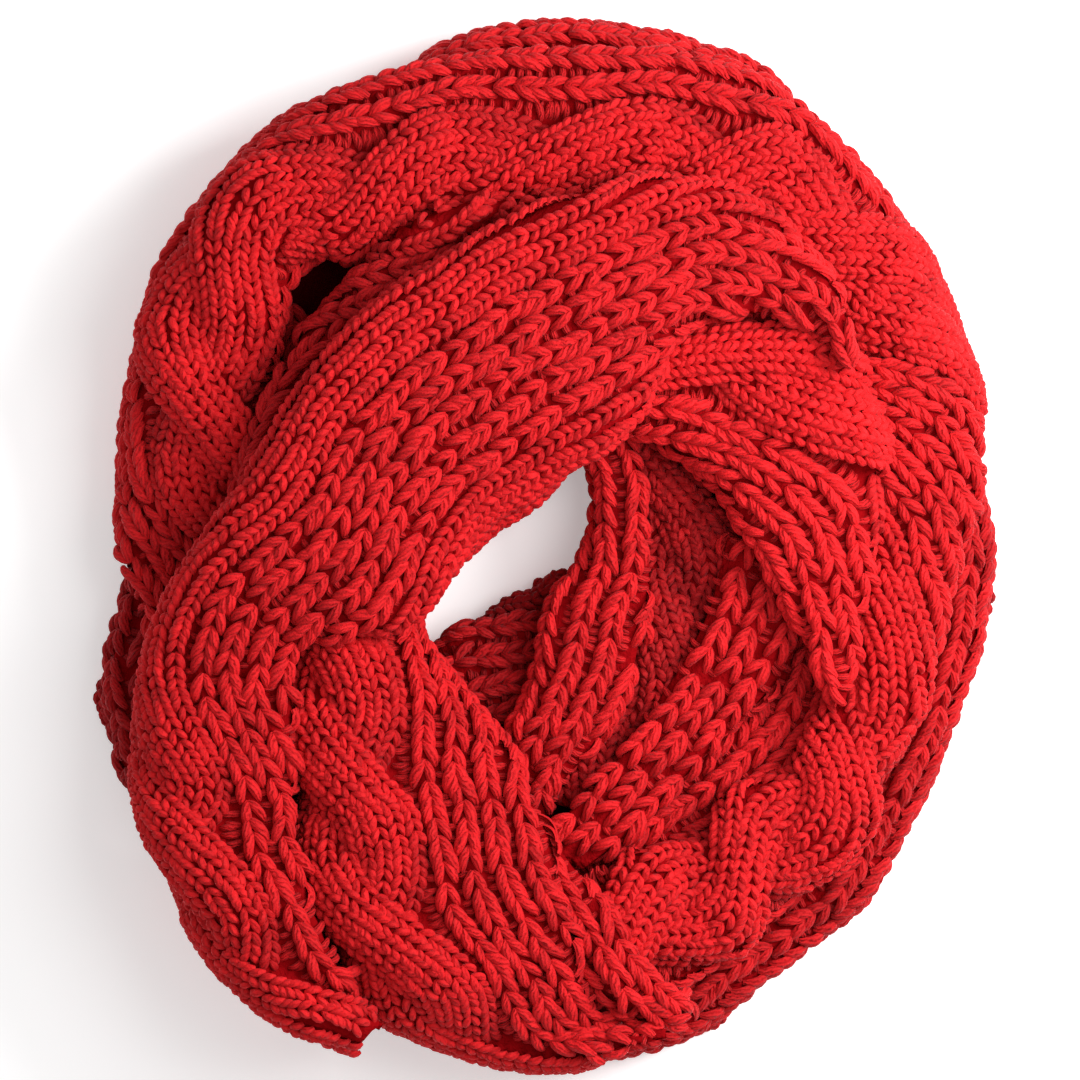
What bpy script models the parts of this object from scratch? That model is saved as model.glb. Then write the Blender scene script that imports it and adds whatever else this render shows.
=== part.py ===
"""Cable knit loop scarf, wound twice and laid down flat as a ring.

Frame: +Z up, the surface that the scarf lies on at Z = 0, and the origin in the
middle of the ring's box.  Seen from above, +Y points to the top of the ring.
Every table and size below is in millimetres; MM turns them into metres.

The scarf is one wide knitted loop.  Each stretch of it that shows is a wall of
cloth of its own, lofted through sections and draped over what lies beneath it.
The layers that nothing shows share one low rounded solid.
"""

from math import pi

import bpy
import numpy as np

MM = 0.001

# The flat loop: once round, across, and the cloth's plain thickness
SCARF_ROUND = 1400.0
SCARF_WIDTH = 360.0
WALL = 3.6
GAP = 0.35

# The knitted pattern across the loop: a two-strand cable, then a few ribs
CABLE_WIDTH = 62.0
RIB_WIDTH = 11.2
RIBS_BETWEEN = 5
REPEAT = CABLE_WIDTH + RIBS_BETWEEN * RIB_WIDTH
RIB_HEIGHT = 3.4
RIB_SWAY = 5.0
SWAY_REACH = 14.0
STRAND_WIDTH = 36.0
STRAND_HEIGHT = 7.6
STRAND_SWING = 14.0
STRAND_LIFT = 2.8
CROSSING_EVERY = 68.0

# The shape of a section: how square it is, and how far its edges curl under
SQUARE_ACROSS = 0.72
SQUARE_UP = 0.80
TUCK_ANGLE = 0.55
BULGE_SHARE = 0.34
LEAST_RISE = 5.0
INSET = 2.0
INSET_SHARE = 0.1

# Spacing of the points
FINE_STEP = 3.0
FINE_ACROSS = 72
MESH_ALONG = 13.0
MESH_ACROSS = RIB_WIDTH / 2
INSIDE_ALONG = 2
INSIDE_ACROSS = 15.0

# The height map on which each stretch is draped
MAP_CELL = 2.0
MAP_REACH = 250.0
DRAPE_RADIUS = 3
DRAPE_BLUR = 2
LIFT_REACH = 3
LIFT_ROUNDS = 12
SPOT_SHARE = 0.8
EDGE_FADE = 7.0
FOOT_REACH = 4

# Half the ring's box, so that the origin is in its middle
CENTRE_X = -0.9
CENTRE_Y = -0.5

CLOTH_RED = (0.52, 0.012, 0.016, 1.0)
SHADE_RED = (0.30, 0.008, 0.011, 1.0)
CLOTH_ROUGHNESS = 0.85
SHARP_ANGLE = 1.2

# One row for each section, from one end of the stretch to the other.
# first_x, first_y and second_x, second_y are the two edges as seen from above,
# top is the height of the crown above the surface, and centre is which place of
# the pattern is on the crown, counted from a cable's first edge.
COLUMNS = ("first_x", "first_y", "second_x", "second_y", "top", "centre")

OUTER_RIM = [
    (176, 48, 150, 40, 30, 94),
    (184, 22, 158, 18, 33, 94),
    (189, -5, 160, -5, 35, 94),
    (187, -25, 158, -25, 36, 94),
    (182, -50, 153, -48, 36, 94),
    (173, -75, 146, -70, 35, 94),
    (163, -102, 135, -92, 34, 94),
    (151, -126, 123, -112, 33, 94),
    (138, -150, 110, -132, 33, 94),
    (116, -169, 92, -150, 33, 94),
    (92, -187, 70, -163, 34, 94),
    (68, -206, 50, -177, 34, 94),
    (40, -217, 28, -186, 33, 94),
    (8, -219, 5, -187, 32, 94),
    (-24, -211, -18, -186, 30, 94),
    (-46, -202, -38, -178, 28, 94),
]

TOP_STRIP = [
    (-84, 176, -74, 154, 30, 100),
    (-64, 194, -56, 168, 34, 100),
    (-44, 209, -36, 178, 37, 100),
    (-18, 217, -12, 184, 39, 100),
    (10, 219, 12, 186, 40, 100),
    (40, 216, 36, 182, 40, 100),
    (68, 209, 60, 176, 40, 100),
    (92, 199, 80, 168, 38, 100),
    (108, 181, 92, 156, 34, 100),
    (118, 166, 102, 146, 30, 100),
]

LEFT_RUFFLE = [
    (-174, -10, -148, -8, 24, 90),
    (-183, -35, -152, -32, 29, 90),
    (-187, -56, -154, -54, 32, 90),
    (-185, -78, -152, -76, 32, 90),
    (-180, -100, -148, -94, 30, 90),
    (-166, -117, -140, -106, 25, 90),
]

UNDER_FOLD = [
    (-128, 104, -94, 93, 29, 98),
    (-130, 97, -90, 86, 34, 98),
    (-132, 80, -88, 70, 38, 98),
    (-134, 56, -94, 50, 38, 98),
    (-140, 26, -102, 18, 36, 98),
]

DEEP_INNER = [
    (-60, -46, -66, -78, 30, 90),
    (-50, -50, -46, -88, 30, 90),
    (-36, -37, -30, -92, 31, 90),
    (-18, -29, -14, -92, 32, 90),
    (0, -25, 4, -84, 31, 90),
    (12, -16, 22, -68, 28, 90),
]

RECESS = [
    (24, 58, 78, 52, 34, 40),
    (30, 30, 86, 24, 35, 40),
    (34, 4, 92, -4, 35, 40),
    (34, -26, 90, -34, 35, 40),
    (26, -56, 78, -66, 35, 40),
    (10, -84, 58, -96, 34, 40),
    (-6, -108, 36, -120, 32, 40),
]

LOWER_RIBS = [
    (98, -30, 130, -40, 36, 94),
    (94, -50, 127, -66, 39, 94),
    (82, -70, 120, -90, 41, 94),
    (64, -88, 98, -110, 42, 94),
    (44, -106, 68, -128, 40, 94),
    (20, -122, 38, -142, 36, 94),
    (0, -130, 12, -150, 30, 94),
]

INNER_RIBS = [
    (4, 58, 36, 62, 38, 96),
    (16, 38, 38, 40, 43, 96),
    (21, 20, 43, 18, 46, 96),
    (19, 2, 46, -2, 48, 96),
    (11, -15, 45, -20, 49, 96),
    (1, -28, 42, -36, 50, 96),
    (-3, -46, 38, -54, 51, 96),
    (-7, -64, 30, -72, 51, 96),
    (-17, -82, 19, -90, 49, 96),
    (-22, -98, 8, -104, 44, 96),
    (-20, -114, 2, -118, 36, 96),
]

LADDER_RIBS = [
    (74, 2, 116, -14, 38, 90),
    (66, -28, 110, -38, 45, 90),
    (52, -56, 96, -62, 50, 90),
    (36, -80, 76, -84, 53, 90),
    (20, -100, 54, -106, 52, 90),
    (4, -116, 36, -124, 46, 90),
    (-8, -128, 18, -138, 38, 90),
]

OUTER_TURN = [
    (-168, -42, -136, -48, 34, -24),
    (-177, -12, -130, -14, 40, -10),
    (-180, 22, -122, 18, 47, 12),
    (-178, 52, -117, 46, 54, 24),
    (-170, 88, -113, 78, 59, 33),
    (-160, 121, -108, 106, 61, 33),
    (-140, 149, -97, 119, 62, 27),
    (-113, 175, -79, 123, 62, 19),
    (-78, 190, -56, 129, 62, 15),
    (-42, 200, -33, 134, 61, 14),
    (-4, 205, -8, 137, 60, 14),
    (34, 205, 27, 134, 60, 15),
    (68, 199, 59, 129, 60, 18),
    (98, 186, 86, 121, 60, 21),
    (128, 160, 104, 104, 59, 25),
    (150, 134, 115, 86, 58, 32),
    (163, 105, 122, 66, 57, 52),
    (174, 76, 127, 44, 56, 78),
    (181, 46, 130, 22, 55, 96),
    (180, 18, 131, 0, 54, 110),
    (172, -8, 130, -16, 54, 120),
    (167, -32, 128, -36, 54, 130),
    (159, -60, 124, -60, 54, 139),
    (149, -86, 116, -82, 54, 144),
    (134, -116, 100, -98, 54, 147),
    (114, -142, 82, -106, 54, 147),
    (90, -162, 60, -124, 53, 147),
    (66, -180, 32, -134, 51, 147),
    (42, -192, 8, -142, 46, 147),
]

SECOND_CROSSING = [
    (-136, 0, -104, -12, 52, 105),
    (-126, 32, -92, 8, 57, 108),
    (-115, 62, -78, 36, 61, 109),
    (-103, 84, -62, 56, 64, 107),
    (-86, 102, -46, 74, 66, 94),
    (-70, 120, -30, 88, 67, 81),
    (-50, 132, -15, 98, 68, 69),
    (-26, 139, 2, 106, 68, 60),
    (-2, 142, 20, 110, 66, 55),
    (20, 141, 36, 112, 62, 52),
]

INNER_RIGHT = [
    (18, 54, 64, 112, 60, 150),
    (36, 46, 96, 106, 66, 145),
    (58, 35, 121, 84, 68, 134),
    (74, 19, 131, 58, 69, 118),
    (84, 2, 136, 31, 68, 106),
    (93, -15, 138, 8, 66, 100),
    (103, -33, 135, -16, 62, 98),
    (111, -49, 130, -40, 56, 96),
    (118, -63, 127, -60, 50, 94),
    (121, -70, 125, -69, 42, 94),
]

HOLE_EDGE = [
    (-20, -116, -2, -119, 52, 104),
    (-9, -130, 11, -133, 58, 104),
    (-4, -144, 23, -148, 63, 104),
    (5, -160, 34, -163, 61, 104),
    (13, -175, 44, -177, 57, 104),
    (23, -189, 53, -187, 52, 104),
    (36, -198, 60, -192, 46, 104),
    (50, -202, 66, -195, 40, 104),
]

LOWER_LEFT = [
    (-104, -10, -52, -12, 56, 42),
    (-104, -36, -54, -38, 62, 42),
    (-107, -62, -40, -58, 67, 47),
    (-107, -86, -24, -77, 70, 51),
    (-107, -111, -9, -98, 71, 56),
    (-104, -137, 2, -121, 71, 59),
    (-96, -164, 8, -146, 69, 57),
    (-81, -187, 13, -169, 63, 54),
    (-50, -199, 20, -190, 55, 62),
    (-18, -209, 30, -203, 46, 68),
    (8, -211, 42, -203, 40, 74),
    (30, -209, 52, -201, 34, 80),
]

CROSSING = [
    (129, 72, 121, 71, 64, 79),
    (126, 90, 108, 87, 72, 81),
    (117, 108, 88, 92, 78, 83),
    (98, 128, 67, 92, 83, 84),
    (73, 141, 52, 84, 86, 84),
    (46, 144, 42, 68, 88, 84),
    (20, 139, 33, 54, 90, 84),
    (-3, 131, 22, 43, 91, 84),
    (-25, 121, 6, 34, 92, 84),
    (-45, 110, -8, 20, 92, 84),
    (-65, 97, -24, 10, 92, 84),
    (-82, 79, -34, 1, 92, 84),
    (-98, 58, -44, -10, 91, 84),
    (-109, 40, -52, -23, 90, 82),
    (-119, 22, -62, -33, 88, 82),
    (-131, 5, -77, -38, 86, 82),
    (-143, -12, -92, -41, 83, 80),
    (-155, -32, -101, -48, 80, 78),
    (-163, -55, -103, -62, 77, 76),
    (-166, -80, -103, -82, 75, 66),
    (-164, -105, -102, -104, 72, 55),
    (-158, -130, -100, -128, 69, 54),
    (-146, -154, -95, -148, 64, 53),
    (-129, -176, -86, -167, 57, 52),
    (-107, -195, -78, -184, 48, 51),
    (-92, -201, -72, -192, 40, 50),
    (-78, -204, -65, -198, 31, 50),
]

# Where a stretch's cables cross: at each distance along it, how many half turns
# its two strands have made.  They lie side by side at every whole number.
CROSSING_COLUMNS = ("distance", "half_turns")
EVEN_CROSSINGS = [(-5 * CROSSING_EVERY, -5), (10 * CROSSING_EVERY, 10)]
OUTER_CROSSINGS = [
    (0, 0),
    (136, 2),
    (204, 3),
    (271, 4),
    (358, 5),
    (415, 6),
    (484, 7),
    (650, 7),
    (716, 8),
    (766, 9),
    (826, 10),
]
LOWER_CROSSINGS = [(-7, 0), (55, 1), (117, 2), (180, 3), (250, 4), (310, 5)]
TOP_CROSSINGS = [(0, 0), (380, 0), (440, 1), (500, 2), (560, 3)]

# Lowest first.
STRETCHES = {
    "outer_rim": dict(rows=OUTER_RIM, crossings=EVEN_CROSSINGS),
    "top_strip": dict(rows=TOP_STRIP, crossings=EVEN_CROSSINGS),
    "left_ruffle": dict(rows=LEFT_RUFFLE, crossings=EVEN_CROSSINGS),
    "under_fold": dict(rows=UNDER_FOLD, crossings=EVEN_CROSSINGS),
    "deep_inner": dict(rows=DEEP_INNER, crossings=EVEN_CROSSINGS),
    "recess": dict(rows=RECESS, crossings=EVEN_CROSSINGS),
    "lower_ribs": dict(rows=LOWER_RIBS, crossings=EVEN_CROSSINGS),
    "inner_ribs": dict(rows=INNER_RIBS, crossings=EVEN_CROSSINGS),
    "ladder_ribs": dict(rows=LADDER_RIBS, crossings=EVEN_CROSSINGS),
    "outer_turn": dict(rows=OUTER_TURN, crossings=OUTER_CROSSINGS),
    "second_crossing": dict(rows=SECOND_CROSSING, crossings=EVEN_CROSSINGS),
    "inner_right": dict(rows=INNER_RIGHT, crossings=EVEN_CROSSINGS),
    "hole_edge": dict(rows=HOLE_EDGE, crossings=EVEN_CROSSINGS),
    "lower_left": dict(rows=LOWER_LEFT, crossings=LOWER_CROSSINGS),
    "crossing": dict(rows=CROSSING, crossings=TOP_CROSSINGS),
}

# The hidden layers, clockwise from the left: the side towards the hole, the
# outer side, and the height.
HIDDEN_COLUMNS = ("hole_x", "hole_y", "outer_x", "outer_y", "top")
HIDDEN_LAYERS = [
    (-66, -36, -158, -52, 26),
    (-62, -10, -162, 0, 26),
    (-50, 14, -158, 50, 26),
    (-34, 28, -138, 108, 27),
    (-14, 44, -84, 158, 28),
    (6, 54, 0, 186, 28),
    (26, 52, 82, 170, 28),
    (35, 34, 138, 108, 28),
    (36, 12, 158, 50, 27),
    (33, -10, 165, -12, 26),
    (22, -30, 152, -68, 26),
    (4, -42, 116, -126, 26),
    (-18, -46, 46, -186, 26),
    (-38, -56, -30, -188, 26),
    (-52, -66, -98, -166, 26),
    (-66, -62, -138, -112, 26),
]
HIDDEN_STATIONS = 44
HIDDEN_FOLDS = 3
HIDDEN_FOLD_DEPTH = 3.0


def clear_scene():
    for item in list(bpy.data.objects):
        bpy.data.objects.remove(item)


def hermite(values, knots, at):
    """A smooth curve through the rows of values, which stand at the knots."""
    slopes = np.gradient(values, knots, axis=0)
    i = np.clip(np.searchsorted(knots, at, side="right") - 1, 0, len(knots) - 2)
    span = (knots[i + 1] - knots[i])[:, None]
    t = (at - knots[i])[:, None] / span
    return (
        (2 * t**3 - 3 * t**2 + 1) * values[i]
        + (t**3 - 2 * t**2 + t) * span * slopes[i]
        + (3 * t**2 - 2 * t**3) * values[i + 1]
        + (t**3 - t**2) * span * slopes[i + 1]
    )


def lengths_along(points):
    """How far each point of a line is from the first one, along the line."""
    steps = np.linalg.norm(np.diff(points, axis=0), axis=1)
    return np.concatenate([[0.0], np.cumsum(steps)])


def spots_on(points, faces):
    """Places spread over every face, close enough together to meet each cell of the map."""
    corners = points[faces]
    edges = np.linalg.norm(corners - np.roll(corners, 1, axis=1), axis=2)
    count = int(edges.max() / (SPOT_SHARE * MAP_CELL)) + 1
    share = [(i, j) for i in range(count + 1) for j in range(count + 1 - i)]
    one, two = np.array(share).T / count
    three = 1 - one - two
    weights = np.stack([one, two, three], axis=1)
    return np.einsum("sc,fck->fsk", weights, corners)


def widened(heights, reach):
    """Each cell takes the highest of the cells within reach of it."""
    out = heights
    for axis in (0, 1):
        out = np.max([np.roll(out, k, axis) for k in range(-reach, reach + 1)], axis=0)
    return out


def blurred(heights, reach):
    """Each cell takes the mean of the cells within reach of it."""
    out = heights
    for axis in (0, 1):
        out = np.mean([np.roll(out, k, axis) for k in range(-reach, reach + 1)], axis=0)
    return out


def cells_of(x, y):
    """The cell of the height map that each place is in."""
    last = int(2 * MAP_REACH / MAP_CELL)
    i = np.clip(np.rint((x + MAP_REACH) / MAP_CELL), 0, last).astype(int)
    j = np.clip(np.rint((y + MAP_REACH) / MAP_CELL), 0, last).astype(int)
    return i, j


def read_map(heights, x, y):
    """The height of a map at these places, between its cells."""
    last = len(heights) - 1.001
    u = np.clip((x + MAP_REACH) / MAP_CELL, 0, last)
    v = np.clip((y + MAP_REACH) / MAP_CELL, 0, last)
    i, j = u.astype(int), v.astype(int)
    s, t = u - i, v - j
    low = heights[i, j] * (1 - s) + heights[i + 1, j] * s
    high = heights[i, j + 1] * (1 - s) + heights[i + 1, j + 1] * s
    return low * (1 - t) + high * t


class Ground:
    """The top of the cloth laid so far, over each cell of the surface."""

    def __init__(self):
        count = int(2 * MAP_REACH / MAP_CELL) + 1
        self.top = np.zeros((count, count))
        self.update()

    def update(self):
        self.tight = widened(self.top, 1)
        self.cover = blurred(widened(self.top, DRAPE_RADIUS), DRAPE_BLUR)

    def add(self, points, faces):
        """Raises the map to the faces of a solid."""
        spots = spots_on(points, faces).reshape(-1, 3)
        np.maximum.at(self.top, cells_of(spots[:, 0], spots[:, 1]), spots[:, 2])
        self.update()

    def lift_needed(self, points, faces):
        """A smooth map of how far the faces have to rise to clear the cloth below."""
        spots = spots_on(points, faces)
        need = read_map(self.tight, spots[..., 0], spots[..., 1]) + GAP - spots[..., 2]
        need = need.max(axis=1)
        lift = np.zeros(self.top.shape)
        low = need > 0
        for corner in faces[low].T:
            cell = cells_of(points[corner, 0], points[corner, 1])
            np.maximum.at(lift, cell, need[low] + 0.05)
        return blurred(widened(lift, LIFT_REACH), LIFT_REACH), need.max()


def strand_angle(distance, crossings):
    """How far a cable's strands have turned at a distance along their stretch."""
    marks = np.array(crossings, float)
    return pi * np.interp(distance, marks[:, 0], marks[:, 1])


def strand_top(side, angle, way, hand):
    """Height of one strand of a cable, and whether it is there at all."""
    middle = way * STRAND_SWING * np.cos(angle)
    turned = np.sin(angle)
    lift = hand * way * STRAND_LIFT * np.sign(turned) * np.sqrt(np.abs(turned))
    inside = 1 - ((side - middle) / (STRAND_WIDTH / 2)) ** 2
    return STRAND_HEIGHT * np.sqrt(np.clip(inside, 0, 1)) + lift, inside > 0


def sway(place, angle):
    """How far the ribs beside a cable lean towards it where its strands cross."""
    back = np.exp(-np.abs(place - CABLE_WIDTH) / SWAY_REACH)
    on = np.exp(-np.abs(REPEAT - place) / SWAY_REACH)
    return RIB_SWAY * np.sin(angle) ** 2 * (on - back)


def rib_top(place, angle):
    """Height of the ribs, which lie between one cable and the next."""
    still = place - sway(place - sway(place, angle), angle)
    rib = (still - CABLE_WIDTH) / RIB_WIDTH
    between = (rib > 0) & (rib < RIBS_BETWEEN)
    return np.where(between, RIB_HEIGHT * np.sin(pi * rib) ** 2, 0)


def relief(across, angle, hand):
    """How far the knitting stands out at these places.  hand is 1, or -1 where the
    places across run the other way, so that every cable twists alike."""
    place = np.mod(across, REPEAT)
    side = place - CABLE_WIDTH / 2
    raised = np.maximum(rib_top(place, angle), rib_top(place + REPEAT, angle))
    for way in (1, -1):
        height, inside = strand_top(side, angle, way, hand)
        raised = np.where(inside, np.maximum(raised, height), raised)
    return raised


def evened(line):
    """A line of heights made smooth, and nowhere lower than it was."""
    reach = FOOT_REACH
    wide = np.pad(line, ((reach, reach), (0, 0)), mode="edge")
    high = np.max([wide[k : k + len(line)] for k in range(2 * reach + 1)], axis=0)
    wide = np.pad(high, ((reach, reach), (0, 0)), mode="edge")
    return np.mean([wide[k : k + len(line)] for k in range(2 * reach + 1)], axis=0)


class Band:
    """The smooth surface of one stretch, and any point of it by its place on the cloth."""

    def __init__(self, rows, crossings, ground):
        table = np.array(rows, float)
        middle = (table[:, 0:2] + table[:, 2:4]) / 2
        knots = lengths_along(middle)
        count = int(knots[-1] / FINE_STEP) + 1
        self.u = np.linspace(0, knots[-1], count)
        self.crossings = crossings
        row = hermite(table, knots, self.u)
        self.points = self.sections(row, ground)
        self.smooth_out()
        self.even_out(row[:, 5])
        self.normals = self.facing()

    def sections(self, row, ground):
        """The grid of points before it is evened out: one arch for each station."""
        first, second, top = row[:, 0:2], row[:, 2:4], row[:, 4:5]
        width = np.linalg.norm(second - first, axis=1, keepdims=True)
        inward = (second - first) * np.minimum(INSET / width, INSET_SHARE)
        first, second = first + inward, second - inward
        angle = np.linspace(-TUCK_ANGLE, pi + TUCK_ANGLE, 2 * FINE_ACROSS + 1)
        cosine, sine = np.cos(angle), np.sin(angle)
        across = -np.sign(cosine) * np.abs(cosine) ** SQUARE_ACROSS
        up = np.sign(sine) * np.abs(sine) ** SQUARE_UP
        middle, half = (first + second) / 2, (second - first) / 2
        plan = middle[:, None, :] + across[None, :, None] * half[:, None, :]
        x, y = plan[..., 0], plan[..., 1]
        below = read_map(ground.cover, x, y)
        foot_first = evened(below[:, :1]) + GAP
        foot_second = evened(below[:, -1:]) + GAP
        crown = np.maximum(top, np.maximum(foot_first, foot_second) + LEAST_RISE)
        foot = np.where(angle < pi / 2, foot_first, foot_second)
        bulge = foot + BULGE_SHARE * (crown - foot)
        sink = np.minimum(up, 0) / up[0] * -1
        height = np.where(up > 0, bulge + up * (crown - bulge), bulge + sink * (bulge - foot))
        ease = np.clip(np.minimum(angle, pi - angle) / 0.6, 0, 1)
        lifted = below + GAP + WALL * ease + 0.6 * ease
        height = np.maximum(height, lifted)
        return np.stack([x, y, height], axis=2)

    def smooth_out(self):
        """Takes the kinks out of the draped heights, without lowering any of them much."""
        z = self.points[..., 2]
        for _ in range(2):
            wide = np.pad(z, ((1, 1), (1, 1)), mode="edge")
            mean = (wide[:-2, 1:-1] + wide[2:, 1:-1] + wide[1:-1, :-2] + wide[1:-1, 2:]) / 4
            z[:, 2:-2] = np.maximum(z, mean)[:, 2:-2]

    def even_out(self, centre):
        """Spaces each section's points evenly, and finds where the pattern begins on it."""
        even = np.empty((len(self.u), FINE_ACROSS + 1, 3))
        self.round = np.empty(len(self.u))
        self.start = np.empty(len(self.u))
        for i, section in enumerate(self.points):
            place = lengths_along(section)
            self.round[i] = place[-1]
            self.start[i] = centre[i] - place[FINE_ACROSS]
            at = np.linspace(0, place[-1], FINE_ACROSS + 1)
            for k in range(3):
                even[i, :, k] = np.interp(at, place, section[:, k])
        self.points = even

    def facing(self):
        """The direction out of the cloth at each point."""
        ahead = np.gradient(self.points, axis=0)
        aside = np.gradient(self.points, axis=1)
        normal = np.cross(aside, ahead)
        normal /= np.maximum(np.linalg.norm(normal, axis=2, keepdims=True), 1e-9)
        self.mirrored = normal[:, FINE_ACROSS // 2, 2].mean() < 0
        return -normal if self.mirrored else normal

    def at(self, u, across):
        """Points and normals at a distance along and a place across the knitted pattern."""
        i = np.clip(u / self.u[-1] * (len(self.u) - 1), 0, len(self.u) - 1.0001)
        start = np.interp(u, self.u, self.start)
        full = np.interp(u, self.u, self.round)
        j = np.clip((across - start) / full * FINE_ACROSS, 0, FINE_ACROSS - 0.0001)
        a, b = i.astype(int), j.astype(int)
        s, t = (i - a)[..., None], (j - b)[..., None]
        found = []
        for grid in (self.points, self.normals):
            one = grid[a, b] * (1 - s) + grid[a + 1, b] * s
            two = grid[a, b + 1] * (1 - s) + grid[a + 1, b + 1] * s
            found.append(one * (1 - t) + two * t)
        found[1] /= np.linalg.norm(found[1], axis=-1, keepdims=True)
        return found

    def places_across(self, u, step):
        """The first edge, every whole step of the pattern, and the second edge."""
        start = float(np.interp(u, self.u, self.start))
        end = start + float(np.interp(u, self.u, self.round))
        inner = np.arange(np.ceil((start + 0.45 * step) / step), (end - 0.45 * step) / step)
        return np.concatenate([[start], inner * step, [end]])

    def raised(self, u, across):
        """How far the knitting stands out, which it does less near the edges."""
        start = np.interp(u, self.u, self.start)
        full = np.interp(u, self.u, self.round)
        from_edge = np.minimum(across - start, start + full - across)
        hand = -1 if self.mirrored else 1
        angle = strand_angle(u, self.crossings)
        return relief(across, angle, hand) * np.clip(from_edge / EDGE_FADE, 0, 1)

    def lift(self, amount):
        """Raises the surface by a map."""
        self.points[..., 2] += read_map(amount, self.points[..., 0], self.points[..., 1])
        self.normals = self.facing()


def zip_lines(first, second, first_at, second_at):
    """Triangles between two lines of numbered points, each at its own places."""
    faces = []
    i = j = 0
    while i < len(first) - 1 or j < len(second) - 1:
        take_first = j == len(second) - 1 or (
            i < len(first) - 1 and first_at[i + 1] <= second_at[j + 1]
        )
        if take_first:
            faces.append((first[i], first[i + 1], second[j]))
            i += 1
        else:
            faces.append((first[i], second[j + 1], second[j]))
            j += 1
    return faces


def wall_of(band):
    """The points and faces of a wall: the knitting on its outside, and a plain inside."""
    points = []
    faces = []

    def line(u, step, inside):
        across = band.places_across(u, step)
        place, normal = band.at(np.full(len(across), u), across)
        depth = -WALL if inside else band.raised(u, across)[:, None]
        first = len(points)
        points.extend(place + normal * depth)
        return list(range(first, len(points))), across

    count = max(4, int(round(band.u[-1] / MESH_ALONG / INSIDE_ALONG)) * INSIDE_ALONG)
    stations = np.linspace(0, band.u[-1], count + 1)
    outer = [line(u, MESH_ACROSS, False) for u in stations]
    inner = [line(u, INSIDE_ACROSS, True) for u in stations[::INSIDE_ALONG]]
    for here, there in zip(outer, outer[1:]):
        faces += zip_lines(here[0], there[0], here[1], there[1])
    for here, there in zip(inner, inner[1:]):
        faces += [f[::-1] for f in zip_lines(here[0], there[0], here[1], there[1])]
    inner_at = stations[::INSIDE_ALONG]
    for end, flip in ((0, True), (-1, False)):
        edge_out = [ids[end] for ids, _ in outer]
        edge_in = [ids[end] for ids, _ in inner]
        rim = zip_lines(edge_in, edge_out, inner_at, stations)
        faces += [f[::-1] for f in rim] if flip else rim
    for end, flip in ((0, True), (-1, False)):
        cap = zip_lines(outer[end][0], inner[end][0], outer[end][1], inner[end][1])
        faces += [f[::-1] for f in cap] if flip else cap
    if band.mirrored:
        faces = [f[::-1] for f in faces]
    return np.array(points), np.array(faces)


def cloth_solid(name, band, ground):
    """One stretch of cloth, raised wherever it would dip into what lies beneath it."""
    for _ in range(LIFT_ROUNDS):
        points, faces = wall_of(band)
        amount, most = ground.lift_needed(points, faces)
        if most <= 0:
            break
        band.lift(amount)
    ground.add(points, faces)
    return new_object(name, points, faces, CLOTH_RED)


def hidden_solid(ground):
    """The low rounded solid that the hidden layers share, with folds at its edges."""
    table = np.array(HIDDEN_LAYERS + HIDDEN_LAYERS[:1], float)
    rounds = np.concatenate([table[-4:-1], table, table[1:4]])
    knots = lengths_along((rounds[:, 0:2] + rounds[:, 2:4]) / 2)
    at = np.linspace(knots[3], knots[-4], HIDDEN_STATIONS + 1)[:-1]
    row = hermite(rounds, knots, at)
    height = np.linspace(0, 1, 2 * HIDDEN_FOLDS + 1)
    folded = HIDDEN_FOLD_DEPTH * np.abs(np.sin(pi * HIDDEN_FOLDS * height))
    edge = np.concatenate([[0.0], folded[1:-1], [0.0]])
    points = []
    for hole_x, hole_y, outer_x, outer_y, top in row:
        hole, outer = np.array([hole_x, hole_y]), np.array([outer_x, outer_y])
        away = (outer - hole) / np.linalg.norm(outer - hole)
        width = np.linalg.norm(outer - hole)
        for h, bulge in zip(height, edge):
            spot = hole + away * (6 * h**2 - bulge)
            points.append((*spot, h * (top - 4)))
        for share in (0.2, 0.5, 0.8):
            spot = hole + away * (6 + share * (width - 12))
            points.append((*spot, top))
        for h, bulge in zip(height[::-1], edge[::-1]):
            spot = outer - away * (6 * h**2 - bulge)
            points.append((*spot, h * (top - 4)))
    per = len(points) // HIDDEN_STATIONS
    faces = []
    for i in range(HIDDEN_STATIONS):
        for j in range(per):
            a, b = i * per + j, i * per + (j + 1) % per
            c = (i + 1) % HIDDEN_STATIONS * per + (j + 1) % per
            d = (i + 1) % HIDDEN_STATIONS * per + j
            faces.append((a, d, c, b))
    halves = [(a, b, c) for a, b, c, d in faces] + [(a, c, d) for a, b, c, d in faces]
    ground.add(np.array(points), np.array(halves))
    return new_object("hidden_layers", points, halves, SHADE_RED)


def new_object(name, points, faces, colour):
    shift = np.array([CENTRE_X, CENTRE_Y, 0.0])
    mesh = bpy.data.meshes.new(name)
    places = (np.array(points) - shift) * MM
    mesh.from_pydata(places.tolist(), [], np.array(faces).tolist())
    mesh.update()
    mesh.shade_smooth()
    mesh.set_sharp_from_angle(angle=SHARP_ANGLE)
    item = bpy.data.objects.new(name, mesh)
    item.data.materials.append(red_knit(name, colour))
    return item


def red_knit(name, colour):
    material = bpy.data.materials.new(name + "_knit")
    material.use_nodes = True
    shader = material.node_tree.nodes["Principled BSDF"]
    shader.inputs["Base Color"].default_value = colour
    shader.inputs["Roughness"].default_value = CLOTH_ROUGHNESS
    shader.inputs["Metallic"].default_value = 0.0
    return material


def main():
    clear_scene()
    scarf = bpy.data.collections.new("cable_knit_scarf")
    bpy.context.scene.collection.children.link(scarf)
    ground = Ground()
    scarf.objects.link(hidden_solid(ground))
    for name, stretch in STRETCHES.items():
        band = Band(stretch["rows"], stretch["crossings"], ground)
        scarf.objects.link(cloth_solid(name, band, ground))


main()
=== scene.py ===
from math import pi

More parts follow.
